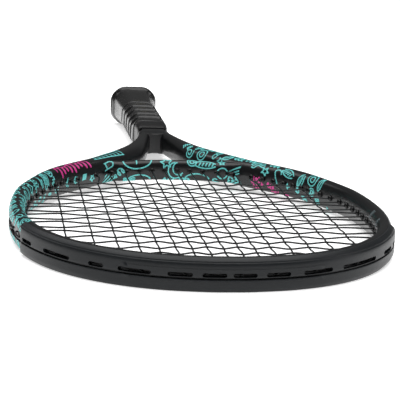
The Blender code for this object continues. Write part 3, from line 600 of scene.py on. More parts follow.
def bridge_section(x):
    """The bridge's section at x as (y, z), a closed ring from its upper inner edge."""
    flare = max(0.0, (abs(x) - 0.040) / 0.022)
    h = BRIDGE_HALF_HEIGHT + 0.0012 * flare ** 2
    inner, back = bridge_face(x), bridge_back(x)
    middle, half = (inner + back) / 2, (back - inner) / 2
    ring = []
    for i in range(15):
        turn = math.pi * (1 - 0.86 * i / 14)
        ring.append((middle + squared(math.cos(turn), half, BRIDGE_POWER),
                     abs(squared(math.sin(turn), h, BRIDGE_POWER))))
    ring += [(back - 0.0003, GROOVE_HALF), (back - BRIDGE_GROOVE, GROOVE_HALF - 0.0003),
             (back - BRIDGE_GROOVE, 0)]
    return ring + [(y, -z) for y, z in reversed(ring[1:-1])]


def make_bridge():
    reach = BRIDGE_REACH + BRIDGE_SINK
    rings = [[Vector((x, y, z)) for y, z in bridge_section(x)] for x in spread(-reach, reach, 88)]
    add("bridge", skin(rings), PAINT, ("throat_bridge",), sharp=50)


def rounded(half_width, half_height, power, count=64):
    """A superellipse as (x, z)."""
    turns = [2 * math.pi * (i + 0.5) / count for i in range(count)]
    return [(squared(math.cos(turn), half_width, power), squared(math.sin(turn), half_height, power))
            for turn in turns]


def make_neck():
    """The wrap round both legs, and the hollow-faced web in the V between them."""
    rings = []
    for y, a, b, power in NECK:
        saddle = 0.16 * max(0.0, 1 - (y - NECK[0][0]) / 0.012)
        rings.append([Vector((x, y, z * (1 - saddle * math.exp(-(x / 0.0042) ** 2))))
                      for x, z in rounded(a, b, power)])
    add("neck_skin", skin(rings), PAINT, ("neck_wrap",), sharp=60)
    rings = []
    for z, lip in WEB_LAYERS:
        ring = []
        for across in spread(-1.0, 1.0, 14):
            y = WEB_FACE + lip + WEB_HOLLOW * math.sqrt(max(0.0, 1 - across ** 2))
            ring.append(Vector((WEB_HALF_WIDTH * across, y, z)))
        rings.append(ring + [Vector((side * WEB_HALF_WIDTH, WEB_BACK, z)) for side in (1, -1)])
    add("throat_fillet", skin(rings), PAINT, ("throat_web",), sharp=60)


# ---------------------------------------------------------------- bumper and grommets
WINDOW_HALF = 0.0014            # half height of a bumper window
WINDOW_MIDDLE = 0.0012          # and how high its middle lies
WINDOW_DEPTH = (-0.00075, 0.0040)       # from where to where it is cut, out from the tube
# The windows' ends, as signed distances from the tip.
WINDOWS = [(-0.1600, -0.1457), (-0.1306, -0.1056), (-0.0906, -0.0799), (-0.0702, -0.0490),
           (-0.0391, -0.0238), (-0.0181, -0.0033), (0.0007, 0.0153), (0.0213, 0.0371), (0.0457, 0.0674),
           (0.0761, 0.1113), (0.1250, 0.1420), (0.1500, 0.1600)]
PANEL = (-0.0640, 0.0590)       # the bumper's raised panel, along the tip
PANEL_EDGE = 0.0020             # over which the panel rises at each end
PANEL_HALF = (-0.0030, 0.0048)  # its lower and upper edge
PANEL_RISE = 0.00060
SLIT = (-0.0019, -0.0005)       # the dark line under the windows
BUMPER_STEP = 0.0016            # between the sections of the modelled bumper
BEAD_OUT = 0.0016               # how far a grommet's modelled tip stands out inside the head


def pill(low, high):
    """A rounded cutter along the bumper's face from low to high."""
    steps, arcs = max(4, math.ceil((high - low) / 0.002)), 6
    outline = []
    for start, end, half in ((low, high, WINDOW_HALF), (high, low, -WINDOW_HALF)):
        outline += [(distance, half) for distance in spread(start, end, steps)]
        for i in range(1, arcs):
            turn = math.pi / 2 * (1 - 2 * i / arcs)
            outline.append((end + half * math.cos(turn), half * math.sin(turn)))
    places = [(Station(distance), WINDOW_MIDDLE + up) for distance, up in outline]
    return skin([[s.at(s.half_width + out, up) for s, up in places] for out in WINDOW_DEPTH])


def bumper_profile(distance):
    """The bumper's section as (out, up): its outside from the top down, then its inside back up."""
    s = Station(distance)
    w = s.half_width
    left = BUMPER_END - abs(distance)
    face = w + BUMPER_THICK * (0.55 + 0.45 * math.sin(math.pi / 2 * min(1.0, left / 0.003)))
    raised = face + PANEL_RISE * clamped(min(s.centre.x - PANEL[0], PANEL[1] - s.centre.x) / PANEL_EDGE)
    slit = face - 0.0015 * clamped((left - 0.002) / 0.002)
    return s, [
        (w - 0.0034, BEAM + 0.0001), (w - 0.0022, BEAM + 0.0004), (w - 0.0008, 0.0109), (w + 0.0004, 0.0099),
        (w + 0.0008, 0.0093), (w + 0.0008, 0.0091), (w + 0.0012, 0.0088), (face - 0.0002, 0.0078),
        (face, 0.0064), (face, PANEL_HALF[1] + 0.0003),
        (raised, PANEL_HALF[1]), (raised, 0.0028), (raised, 0.0012), (raised, SLIT[1] + 0.0002),
        (raised - 0.0001, SLIT[1]), (slit, SLIT[1] - 0.0001), (slit, SLIT[0] + 0.0001),
        (raised - 0.0001, SLIT[0]), (raised, SLIT[0] - 0.0002), (raised, PANEL_HALF[0]),
        (face, PANEL_HALF[0] - 0.0003), (face, -0.0050), (face, -0.0068), (face - 0.0002, -0.0078),
        (w + 0.0010, -0.0090), (w - 0.0002, -0.0104), (w - 0.0014, -BEAM - 0.0001),
        (w - 0.0034, -BEAM - 0.0001),
        (w - 0.0030, -0.0100), (w - 0.0008, -0.0070), (w - 0.0004, -0.0036), (w - 0.0009, 0.0),
        (w - 0.0004, 0.0036), (w - 0.0008, 0.0070), (w - 0.0030, 0.0100)]


def make_bumper():
    rings = []
    for distance in spread(-BUMPER_END, BUMPER_END, round(2 * BUMPER_END / BUMPER_STEP)):
        s, profile = bumper_profile(distance)
        rings.append([s.at(n, z) for n, z in profile])
    bumper = add("bumper_shell", skin(rings), BUMPER_NYLON, ("bumper_guard",), sharp=40)
    cut(bumper, join([pill(low + WINDOW_HALF, high - WINDOW_HALF) for low, high in WINDOWS]))


def bead(start, end):
    """A grommet's rounded tip and barrel, with its bore, from inside the head outwards."""
    along = (end - start).normalized()
    across = along.orthogonal().normalized()
    up = along.cross(across)
    length = (end - start).length
    profile = [(0.0040, 0.00085), (0.0004, 0.0009), (0.0, 0.0011), (0.0001, 0.0017), (0.0005, 0.0022),
               (0.0010, 0.0025), (BEAD_OUT - 0.0002, 0.0025), (BEAD_OUT + 0.0003, 0.0019), (length, 0.0019),
               (length, 0.0011), (length - 0.0020, 0.0009)]
    return skin([circle(start + along * ahead, across, up, radius, 16) for ahead, radius in profile],
                capped=False, closed=True)


def hoop_beads(keep):
    """The grommets' tips and barrels at every hole whose signed distance is wanted."""
    found = []
    for distance in filter(keep, all_holes()):
        s = Station(distance)
        found.append(bead(s.at(-s.half_width - BEAD_OUT, 0), s.at(grommet_floor(s)[1] - 0.0001, 0)))
    return found


def base_strip(points):
    """A strip with rounded edges through (middle of the underside, outward direction) pairs."""
    half, thick = GROMMET_BASE_HALF, GROMMET_BASE
    outline = [(0.0, -half), (thick * 0.6, -half), (thick, -half + 0.0004), (thick, half - 0.0004),
               (thick * 0.6, half), (0.0, half)]
    return skin([[under + out * n + Vector((0, 0, z)) for n, z in outline] for under, out in points])


def hoop_strip(start, end, steps):
    """A strip on the floor of the groove between two signed distances."""
    stations = [Station(distance) for distance in spread(start, end, steps)]
    return base_strip([(s.at(grommet_floor(s)[0], 0), s.out) for s in stations])


def make_grommets():
    add("tip_grommets", join(hoop_beads(lambda d: abs(d) < BUMPER_END)), GROMMET_NYLON,
        ("bumper_guard",))
    reach = BUMPER_END * 0.995
    add("tip_groove_strip", hoop_strip(-reach, reach, 130), GROMMET_NYLON, ("bumper_guard",))
    start = BUMPER_END + STRIP_GAP
    for name, side in (("left_grommet", -1), ("right_grommet", 1)):
        parts = [hoop_strip(side * start, side * GROOVE_END, 90)] + hoop_beads(lambda d: d * side > start)
        add(name + "s", join(parts), GROMMET_NYLON, (name + "_strip",))
    reach = BRIDGE_BACK_AT + 0.0021
    parts = [base_strip([(Vector((x, bridge_back(x) - BRIDGE_GROOVE + GAP, 0)), Vector((0, 1, 0)))
                         for x in spread(-reach, reach, 40)])]
    for index in range(BRIDGE_MAINS):
        inner, outer = bridge_hole(index)
        along = (outer - inner).normalized()
        ends = inner - along * GROMMET_BEAD, outer + along * (GAP + GROMMET_BASE - 0.0001)
        parts += [bead(*[mirrored(end, side) for end in ends]) for side in (1, -1)]
    add("throat_grommets", join(parts), GROMMET_NYLON, ("throat_grommet_strip",))


make_hairpin()
make_bridge()
make_neck()
make_bumper()
make_grommets()


# ---------------------------------------------------------------- strings
def mouth(distance):
    """Where a string may bend inside the head, and where it turns outside, for a hoop hole."""
    s = Station(distance)
    return s.at(-s.half_width - GROMMET_BEAD - MOUTH_CLEAR, 0), s.at(grommet_floor(s)[1] + LOOP_RISE, 0)


def hoop_loop(start, end, up):
    """Points of a loop in the groove between two holes, without the holes' own points."""
    lead = math.copysign(LOOP_LEAD, end - start)
    steps = max(1, round(abs(end - start - 2 * lead) / LOOP_STEP))
    stations = [Station(distance) for distance in spread(start + lead, end - lead, steps)]
    return [s.at(grommet_floor(s)[1] + LOOP_RISE, up) for s in stations]


def bridge_mouth(index, side):
    inner, outer = bridge_hole(index)
    along = (outer - inner).normalized()
    bend = inner - along * (GROMMET_BEAD + MOUTH_CLEAR)
    turn = outer + along * (GAP + GROMMET_BASE + LOOP_RISE)
    return mirrored(bend, side), mirrored(turn, side)


def bridge_loop(start_x, end_x):
    """Points of a loop along the bridge's back."""
    points = []
    lead = math.copysign(LOOP_LEAD / 2, end_x - start_x)
    for x in (start_x + lead, end_x - lead):
        y = bridge_back(x) - BRIDGE_GROOVE + GAP + GROMMET_BASE + LOOP_RISE
        points.append(Vector((x, y, LOOP_SIDE)))
    return points


def throat_mouth(index, side):
    """The mouth at a main's throat end, in the bridge or in the hoop."""
    if index < BRIDGE_MAINS:
        return bridge_mouth(index, side)
    return mouth(side * HOLES["throat", index])


def crosses(index, row):
    """Whether a main and a cross string really cross."""
    low, high = mouth(HOLES["tip", index])[0].y, throat_mouth(index, 1)[0].y
    end_x = mouth(HOLES["cross", row])[0].x
    return MAIN_X[index] < end_x - 0.001 and low + 0.0005 < CROSS_Y[row] < high - 0.001


def weave_height(index, side, row):
    """Height of a main over a cross: each string goes over and under by turns."""
    column = len(MAIN_X) + index if side > 0 else len(MAIN_X) - 1 - index
    return WEAVE if (column + row) % 2 else -WEAVE


def main_run(index, side):
    """A main between its two bends, from the throat to the tip."""
    points = []
    for row in reversed(range(len(CROSS_Y))):
        if crosses(index, row):
            points.append(Vector((side * MAIN_X[index], CROSS_Y[row], weave_height(index, side, row))))
    return points


def main_loop(end, index, side):
    """The loop from one main to the next, at the tip or at the throat."""
    return hoop_loop(side * HOLES[end, index], side * HOLES[end, index + 1], LOOP_SIDE)


def main_half(side):
    """The main string of one side, from the middle of the throat to its knot."""
    points = []
    for index in range(len(MAIN_X)):
        tip_bend, tip_turn = mouth(side * HOLES["tip", index])
        throat_bend, throat_turn = throat_mouth(index, side)
        run = [throat_turn, throat_bend] + main_run(index, side) + [tip_bend, tip_turn]
        if index % 2 == 0:
            points += run
            points += main_loop("tip", index, side)
        else:
            points += list(reversed(run))
            if index + 1 < BRIDGE_MAINS:
                points += bridge_loop(throat_turn.x, bridge_mouth(index + 1, side)[1].x)
            elif index + 1 < len(MAIN_X):
                points += main_loop("throat", index, side)
    tie = side * HOLES["main_tie", 0]
    points += hoop_loop(side * HOLES["throat", len(MAIN_X) - 1], tie, LOOP_SIDE)
    return points + list(reversed(mouth(tie)))


def cross_row(row):
    """A cross string from its left turn to its right turn."""
    left_bend, left_turn = mouth(-HOLES["cross", row])
    right_bend, right_turn = mouth(HOLES["cross", row])
    points = [left_turn, left_bend]
    mains = range(len(MAIN_X))
    for index, side in [(i, -1) for i in reversed(mains)] + [(i, 1) for i in mains]:
        if crosses(index, row):
            points.append(Vector((side * MAIN_X[index], CROSS_Y[row], -weave_height(index, side, row))))
    return points + [right_bend, right_turn]


def cross_route():
    """The whole cross string, from its knot near the tip to its knot at the right shoulder."""
    tie = -HOLES["cross_tie", 1]
    points = list(mouth(tie)) + hoop_loop(tie, -HOLES["cross", 0], -LOOP_SIDE)
    side = 1
    for row in range(len(CROSS_Y)):
        run = cross_row(row)
        points += run if side > 0 else list(reversed(run))
        if row + 1 < len(CROSS_Y):
            points += hoop_loop(side * HOLES["cross", row], side * HOLES["cross", row + 1], -LOOP_SIDE)
        side = -side
    tie = HOLES["cross_tie", 0]
    points += hoop_loop(HOLES["cross", len(CROSS_Y) - 1], tie, -LOOP_SIDE)
    return points + list(reversed(mouth(tie)))


def make_string(name, node_name, route, share):
    """A round string along its route, with its weave scaled by share and a knot at each end."""
    route = [Vector((p.x, p.y, p.z * share)) if abs(p.z) <= WEAVE + 1e-6 else p for p in route]
    parts = [sweep(centripetal(route, STRING_STEP), STRING_R, 10)]
    for tip, inner in ((route[0], route[1]), (route[-1], route[-2])):
        inward = (tip - inner).normalized()
        across = inward.orthogonal().normalized()
        up = inward.cross(across)
        for lift, lean in ((0.0006, 0.5), (0.0017, -0.4)):
            coil = circle(tip, across, up, KNOT_RADIUS, 16)
            coil = [p + inward * (lift + 0.0004 * math.sin(2 * math.pi * k / 16 + lean))
                    for k, p in enumerate(coil + coil[:1])]
            parts.append(sweep(coil, STRING_R * 0.9, 8))
    add(name, join(parts), STRING_CORE, (node_name,), sharp=60)


make_string("main_strings", "main_string", list(reversed(main_half(-1))) + main_half(1), 0.70)
make_string("cross_strings", "cross_string", cross_route(), 0.80)


# ---------------------------------------------------------------- handle
def handle_corner(y):
    """The handle's bevels at y: small at its front end, and rounder at the flare."""
    if y <= CORNERS[0][0]:
        return CORNERS[0][1]
    for (low, before), (high, after) in zip(CORNERS, CORNERS[1:]):
        if y < high:
            share = (y - low) / (high - low)
            return tuple(a + (b - a) * share for a, b in zip(before, after))
    return CORNERS[-1][1]


def smooth_between(stations, y):
    """Half width and half height at y, on a smooth curve through stations."""
    for i, (low, high) in enumerate(zip(stations, stations[1:])):
        if y <= high[0] or high is stations[-1]:
            before = stations[max(i - 1, 0)]
            after = stations[min(i + 2, len(stations) - 1)]
            share = clamped((y - low[0]) / (high[0] - low[0]))
            return spline(before[1:], low[1:], high[1:], after[1:], share)


def octagon_ring(y, a, b, corner, radius, flats=5, arcs=5):
    """A bevelled section with rounded edges, as points that start in the middle of the top."""
    top, side = corner[0] * a, corner[1] * b
    corners = [Vector(p) for p in ((top, b), (a, side), (a, -side), (top, -b),
                                   (-top, -b), (-a, -side), (-a, side), (-top, b))]
    ring = []
    for i, here in enumerate(corners):
        back = corners[i - 1] - here
        after = corners[(i + 1) % 8]
        ahead = after - here
        reach = min(radius, 0.45 * back.length, 0.45 * ahead.length)
        start = here + back.normalized() * reach
        end = here + ahead.normalized() * reach
        for k in range(arcs):
            t = k / (arcs - 1)
            ring.append(start * (1 - t) ** 2 + here * 2 * t * (1 - t) + end * t * t)
        onward = corners[(i + 2) % 8] - after
        stop = after - ahead.normalized() * min(radius, 0.45 * ahead.length, 0.45 * onward.length)
        ring += [end + (stop - end) * k / flats for k in range(1, flats)]
    return [Vector((p.x, y, p.y)) for p in ring]


GRIP_FRONT = WRAP[0][0]
GRIP_BACK = WRAP[-1][0]
# Where a turn of the grip starts, along the middle of the top.
SEAMS = [0.2870, 0.3060, 0.3230, 0.3400, 0.3580, 0.3810, 0.4040, 0.4270, 0.4520, 0.4760, 0.4950, 0.5140]
SEAM_RISE = 0.00120             # height of the step where one turn of the grip lies on the last
GRIP_PLUMP = 0.0009             # of the wrapped grip behind the collar
SEAM_RUN = 0.08                 # share of a turn in which the grip drops off its edge
SEAM_CREASE = 0.0007            # depth of the crease along the edge
GRIP_STEP = 0.0006              # between the grip's sections


def turns_at(y):
    """How many turns of the grip lie in front of y, along the middle of the top."""
    for i, (low, high) in enumerate(zip(SEAMS, SEAMS[1:])):
        if y < high:
            return i + (y - low) / (high - low)
    return len(SEAMS) - 1.0


def grip_lift(y, turn):
    """Height of the grip's surface over its mean, for an angle given as a share of a turn."""
    share = (turns_at(y) + turn) % 1.0
    crease = SEAM_CREASE * math.exp(-(min(share, 1 - share) / 0.045) ** 2)
    if share < SEAM_RUN:
        return SEAM_RISE * (eased(share / SEAM_RUN) - 0.5) - crease
    t = (share - SEAM_RUN) / (1 - SEAM_RUN)
    return SEAM_RISE * (0.5 - t) + 0.00016 * math.sin(math.pi * t) - crease


def edge_radius(y):
    """Radius of the handle's long edges, larger over the flared butt."""
    return 0.0034 + 0.0056 * eased((y - 0.468) / 0.028)


def make_grip():
    outer = [(y, a + WRAP_THICK, b + WRAP_THICK) for y, a, b in WRAP]

    def surface(y):
        plump = GRIP_PLUMP * clamped((y - COLLAR_BACK) / 0.003)
        a, b = smooth_between(outer, y)
        return a + plump, b + 0.5 * plump

    rings = []
    for y in spread(GRIP_FRONT, GRIP_BACK, round((GRIP_BACK - GRIP_FRONT) / GRIP_STEP)):
        a, b = surface(y)
        tail = min(1.0, (GRIP_BACK - y) / 0.0030)
        edge = 0.0014 * (1 - math.sqrt(max(0.0, 1 - (1 - tail) ** 2)))
        ring = octagon_ring(y, a - edge, b - edge, handle_corner(y), edge_radius(y))
        fade = clamped(min((y - GRIP_FRONT) / 0.004, (GRIP_BACK - y) / 0.006))
        lifted = []
        for k, p in enumerate(ring):
            out = Vector((p.x / a ** 2, 0, p.z / b ** 2)).normalized()
            lifted.append(p + out * grip_lift(y, k / len(ring)) * fade)
        rings.append(lifted)
    inner = []
    for y in (GRIP_BACK, 0.40, GRIP_FRONT):
        a, b = smooth_between(outer, y)
        inner.append(octagon_ring(y, a - WRAP_THICK * 0.8, b - WRAP_THICK * 0.8, handle_corner(y), 0.0034))
    add("spiral_grip", skin(rings + inner, capped=False, closed=True), GRIP_SKIN, ("grip_wrap",),
        sharp=50)
    marks = []
    for low, high in zip(SEAMS[4:9], SEAMS[5:10]):
        for share, x, half in ((0.36, -0.0026, 0.0032), (0.66, 0.0012, 0.0026)):
            y = low + (high - low) * share
            level = surface(y)[1] + grip_lift(y, 0.95)
            outline = [(-half, 0.0014), (half, -0.0002), (half, -0.0020), (-half, -0.0004)]
            marks.append(skin([[Vector((x + p, y + q, level + up)) for p, q in outline]
                               for up in (-0.0003, 0.0003)]))
    add("grip_emboss", join(marks), GRIP_MARK, sharp=30)


def make_collar():
    """The rubber sleeve: tapered down to the neck in front, flush with the grip behind."""
    front = COLLAR[0][0]

    def ring(y, inset, radius):
        corner = [v + 0.02 for v in handle_corner(y)]
        return octagon_ring(y, *[v - inset for v in smooth_between(COLLAR, y)], corner, radius)

    outer = []
    for y in spread(front, COLLAR_BACK, 56):
        inset = 0.0004 * max(0.0, 1 - min(y - front, COLLAR_BACK - y) / 0.0005) ** 2
        inset += 0.00025 * math.exp(-((y - COLLAR_BACK + 0.0030) / 0.00045) ** 2)
        outer.append(ring(y, inset, 0.0050))
    inner = [ring(y, 0.0006, 0.0046) for y in spread(COLLAR_BACK, front, 12)]
    add("rubber_collar", skin(outer + inner, capped=False, closed=True), COLLAR_RUBBER,
        ("grip_collar",), "collar", 50)


def make_cap():
    """The flared cap, whose rim shows behind the grip, with a recessed end and the hatch's opening."""
    end_a, end_b = CAP[-1][1:]
    rim = [(0.0010, -0.0006), (0.0003, 0.0), (0.0, 0.0009), (0.0001, 0.0024), (0.0008, 0.0032)]
    outer = CAP[:-1] + [(BUTT_Y - ahead, end_a - inset, end_b - inset) for ahead, inset in rim]
    rings = [octagon_ring(y, a, b, HANDLE_CORNER, edge_radius(y)) for y, a, b in outer]
    cap = add("flared_cap", skin(rings), CAP_PLASTIC, ("butt_cap",), sharp=40)
    floor = BUTT_Y - CAP_FLOOR
    a, b = PALLET[-1][1:]
    room = [octagon_ring(y, a + gap, b + gap, HANDLE_CORNER, 0.0006, 2, 3) for y, gap in (
        (CAP[0][0] - 0.002, GAP), (PALLET_BACK + GAP, GAP), (PALLET_BACK + 0.0012, -0.0010),
        (floor, -0.0010))]
    hatch = [octagon_ring(y, DOOR_HALF[0] + GAP, DOOR_HALF[1] + GAP, HANDLE_CORNER, 0.0014, 2, 4)
             for y in (floor - 0.003, BUTT_Y + 0.002)]
    cut(cap, skin(room))
    cut(cap, skin(hatch))


def make_door():
    """The hatch plug: a bevelled plate with a finger notch, and a hollow skirt behind it."""
    a, b = DOOR_HALF
    face = BUTT_Y - 0.0009
    skirt = BUTT_Y - CAP_FLOOR - DOOR_SKIRT
    outer = [octagon_ring(y, a - inset, b - inset, HANDLE_CORNER, 0.0013, 3, 4) for y, inset in (
        (skirt, 0.0002), (face - 0.0004, 0.0), (face - 0.0001, 0.00015), (face, 0.0005))]
    door = add("hatch_plug", skin(outer), CAP_PLASTIC, ("trap_door",), "door", 40)
    cut(door, skin([octagon_ring(y, a - 0.0014, b - 0.0014, HANDLE_CORNER, 0.0010, 2, 3)
                    for y in (skirt - 0.001, face - 0.0014)]))
    cut(door, skin([[Vector((x, y, z + b - 0.0030)) for x, z in rounded(p, q, 2.4, 28)]
                    for y, p, q in ((face - 0.0007, 0.0030, 0.0008), (face + 0.0010, 0.0034, 0.0012))]))


make_grip()
make_collar()
make_cap()
make_door()
for name, material in (("upper_pallet", PALLET_FOAM), ("lower_pallet", PALLET_FOAM),
                       ("left_staple", STAPLE_STEEL), ("right_staple", STAPLE_STEEL),
                       ("left_tube_plug", PLUG_FOAM), ("right_tube_plug", PLUG_FOAM),
                       ("finishing_tape", TAPE_VINYL)):
    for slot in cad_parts[name].material_slots:
        slot.material = material


# ---------------------------------------------------------------- printed line drawings
LINE_HALF = 0.00055             # half of a drawn line's width
THIN_HALF = 0.00042             # in the dense rows
STRIPE_HALF = 0.0005
LINE_STEP = 0.0009              # between its points
LINE_LIFT = 0.00014             # of the printed layer over the paint
BRIDGE_LIFT = 0.00012           # more on the bridge, whose faces are longer and flatter
LIP = 4                         # first point of a section past the groove


def measured(outline):
    """An outline with the length along it at each point."""
    lengths = [0.0]
    for a, b in zip(outline, outline[1:]):
        lengths.append(lengths[-1] + math.dist(a, b))
    return outline, lengths


def on_outline(outline, lengths, v):
    """A point and its outward normal at length v along an outline that turns from outside to inside."""
    v = min(max(v, 0.0), lengths[-1] - 1e-7)
    i = 1
    while lengths[i] < v:
        i += 1
    t = (v - lengths[i - 1]) / (lengths[i] - lengths[i - 1])
    a, b = outline[i - 1], outline[i]
    dx, dz = b[0] - a[0], b[1] - a[1]
    size = math.hypot(dx, dz)
    return a[0] + dx * t, a[1] + dz * t, dz / size, -dx / size


sections = {}                   # outlines already worked out, by surface and place


def hoop_section(distance):
    """The tube's outline at about a distance, with the length along it."""
    key = "hoop", round(distance * 2000)
    if key not in sections:
        near = key[1] / 2000
        sections[key] = measured(section(Station(near), groove_depth(near))[LIP:])
    return sections[key]


def hoop_point(u, v, lift):
    """A point on the hairpin: u along it from the tip, v round it from the upper lip of the groove."""
    outline, lengths = hoop_section(u)
    half = lengths[-1]
    under = v > half
    n, z, out_n, out_z = on_outline(outline, lengths, 2 * half - v if under else v)
    if out_n * n < 0 and abs(n) > 0.002:
        out_n, out_z = -out_n, -out_z
    s = Station(u)
    return s.at(n + out_n * lift, (z + abs(out_z) * lift) * (-1 if under else 1))


def bridge_point(x, v, lift):
    """A point on the bridge: v from the middle of its inner face, up and over the top, negative below."""
    key = "bridge", round(x * 2000)
    if key not in sections:
        sections[key] = measured(bridge_section(key[1] / 2000)[:15])
    y, z, out_y, out_z = on_outline(*sections[key], abs(v))
    middle = (bridge_face(x) + bridge_back(x)) / 2
    out_y = math.copysign(abs(out_y), y - middle)
    lift += BRIDGE_LIFT
    return Vector((x, y + out_y * lift, math.copysign(z + abs(out_z) * lift, v)))


def arc(cx, cy, radius, start, end, count=14):
    turns = [math.radians(turn) for turn in spread(start, end, count)]
    return [(cx + radius * math.cos(turn), cy + radius * math.sin(turn)) for turn in turns]


def star(points=5, inner=0.22):
    ring = []
    for i in range(2 * points + 1):
        radius = 0.5 if i % 2 == 0 else inner
        turn = math.pi * i / points + math.pi / 2
        ring.append((radius * math.cos(turn), radius * math.sin(turn)))
    return ring


def wave(count, height, y=0.0):
    return [(i / 24 - 0.5, y + height * math.sin(2 * math.pi * count * i / 24)) for i in range(25)]


def curl():
    ring = []
    for i in range(27):
        radius, turn = 0.08 + 0.42 * i / 26, 2 * math.pi * 1.6 * i / 26
        ring.append((radius * math.cos(turn), radius * math.sin(turn)))
    return ring


# Line drawings of about size 1, each a list of strokes.
SHAPES = {
    "ring": [arc(0, 0, 0.45, 0, 360, 20)],
    "star": [star()],
    "spark": [star(4, 0.14)],
    "curl": [curl()],
    "waves": [wave(1.5, 0.12, y=0.25), wave(1.5, 0.12), wave(1.5, 0.12, y=-0.25)],
    "leaf": [arc(0, -0.42, 0.65, 40, 140, 12), arc(0, 0.42, 0.65, 220, 320, 12), [(-0.5, 0), (0.3, 0)]],
    "moon": [arc(0, 0, 0.46, 60, 300, 16), arc(0.22, 0, 0.36, 290, 70, 12)],
    "bolt": [[(-0.1, 0.5), (-0.3, 0.0), (0.05, 0.05), (-0.1, -0.5), (0.3, 0.12), (0.0, 0.1), (0.15, 0.5),
              (-0.1, 0.5)]],
    "drop": [arc(0, -0.15, 0.3, -210, 30, 14) + [(0, 0.5), (-0.26, 0.0)]],
    "capsule": [arc(-0.25, 0, 0.2, 90, 270, 8) + arc(0.25, 0, 0.2, -90, 90, 8) + [(-0.25, 0.2)],
                [(0, 0.2), (0, -0.2)]],
    "hatch": [[(-0.4 + 0.2 * i, -0.4), (-0.2 + 0.2 * i, 0.4)] for i in range(4)],
    "zigzag": [[(-0.5, -0.2), (-0.3, 0.3), (-0.1, -0.3), (0.1, 0.3), (0.3, -0.3), (0.5, 0.2)]],
    "petals": [arc(0.27 * math.cos(k * 1.2566), 0.27 * math.sin(k * 1.2566), 0.2,
                   k * 72 - 120, k * 72 + 120, 8) for k in range(5)] + [arc(0, 0, 0.09, 0, 360, 8)],
    "hook": [[(-0.1, -0.5), (-0.1, 0.15)] + arc(0.1, 0.15, 0.2, 180, 0, 10) + [(0.3, 0.0)]],
    "double": [arc(0, 0, 0.47, 0, 360, 18), arc(0, 0, 0.22, 0, 360, 12)],
    "cap": [arc(0, 0.0, 0.45, 0, 180, 14) + [(0.45, 0.0)],
            [(-0.15, 0.0), (-0.12, -0.4), (0.12, -0.4), (0.15, 0.0)]],
    "squiggle": [wave(2.5, 0.3)],
    "loops": [[(0.5 * t / 10 - 0.5 + 0.16 * math.sin(0.9 * t), 0.25 * math.cos(0.9 * t)) for t in range(21)]],
    "comet": [arc(-0.25, -0.05, 0.24, 0, 360, 14), [(0.02, 0.02), (0.75, 0.42)],
              [(0.05, -0.10), (0.70, 0.24)], [(0.02, -0.22), (0.60, 0.06)]],
    "dial": [arc(0, 0, 0.5, 180, 360, 24), [(-0.03, 0.05), (-0.03, -0.26)]],
    "hill": [arc(0, -0.2, 0.5, 15, 165, 14)],
    "plume": [arc(0, -0.45, 0.72, 48, 132, 10), arc(0, 0.45, 0.72, 228, 312, 10)]
             + [[(-0.3 + 0.15 * i, -0.12), (-0.2 + 0.15 * i, 0.14)] for i in range(5)],
}
# The ones that the rows are filled with at random.
FILL = ["ring", "star", "curl", "waves", "leaf", "moon", "bolt", "capsule", "hatch", "zigzag", "petals",
        "hook", "double", "cap", "squiggle", "loops", "spark", "drop"]


def resampled(stroke):
    """A stroke's points with none further apart than LINE_STEP."""
    found = [stroke[0]]
    for a, b in zip(stroke, stroke[1:]):
        count = max(1, math.ceil(math.dist(a, b) / LINE_STEP))
        found += [(a[0] + (b[0] - a[0]) * i / count, a[1] + (b[1] - a[1]) * i / count)
                  for i in range(1, count + 1)]
    return found


def ribbon(surface, stroke, half):
    """A printed line: a thin closed strip that follows the surface."""
    stroke = resampled(stroke)
    rings = []
    for i, (u, v) in enumerate(stroke):
        before, after = stroke[max(i - 1, 0)], stroke[min(i + 1, len(stroke) - 1)]
        du, dv = after[0] - before[0], after[1] - before[1]
        size = math.hypot(du, dv) or 1.0
        side_u, side_v = -dv / size * half, du / size * half
        ring = []
        for sign, lift in ((-1, -0.0003), (-1, LINE_LIFT), (1, LINE_LIFT), (1, -0.0003)):
            ring.append(surface(u + sign * side_u, v + sign * side_v, lift))
        rings.append(ring)
    return skin(rings)


def icon(surface, shape, u, v, size, turn, half, stretch):
    """A line drawing of a given size, with its middle at (u, v) on a surface."""
    c, s = math.cos(math.radians(turn)), math.sin(math.radians(turn))
    parts = []
    for stroke in SHAPES[shape]:
        placed = [(u + size * (x * c - y * s) * stretch, v + size * (x * s + y * c)) for x, y in stroke]
        parts.append(ribbon(surface, placed, half))
    return parts


def fill(rng, start, end, band, step, size, stretch, lean, half):
    """A row of small drawings between two distances on the hoop."""
    parts = []
    u = start + rng.uniform(0, step / 2)
    while u < end:
        shape = rng.choice(FILL)
        scale = size * rng.uniform(0.9, 1.1)
        place = band + rng.uniform(-0.0005, 0.0005)
        parts += icon(hoop_point, shape, u, place, scale, lean + rng.uniform(-20, 20), half, stretch)
        u += step * rng.uniform(0.9, 1.1)
    return parts


def drawn(surface, table):
    """The drawings of a table, whose lengths are millimetres."""
    parts = []
    for u, v, shape, size, turn, stretch in table:
        parts += icon(surface, shape, u / 1000, v / 1000, size / 1000, turn, LINE_HALF, stretch)
    return parts


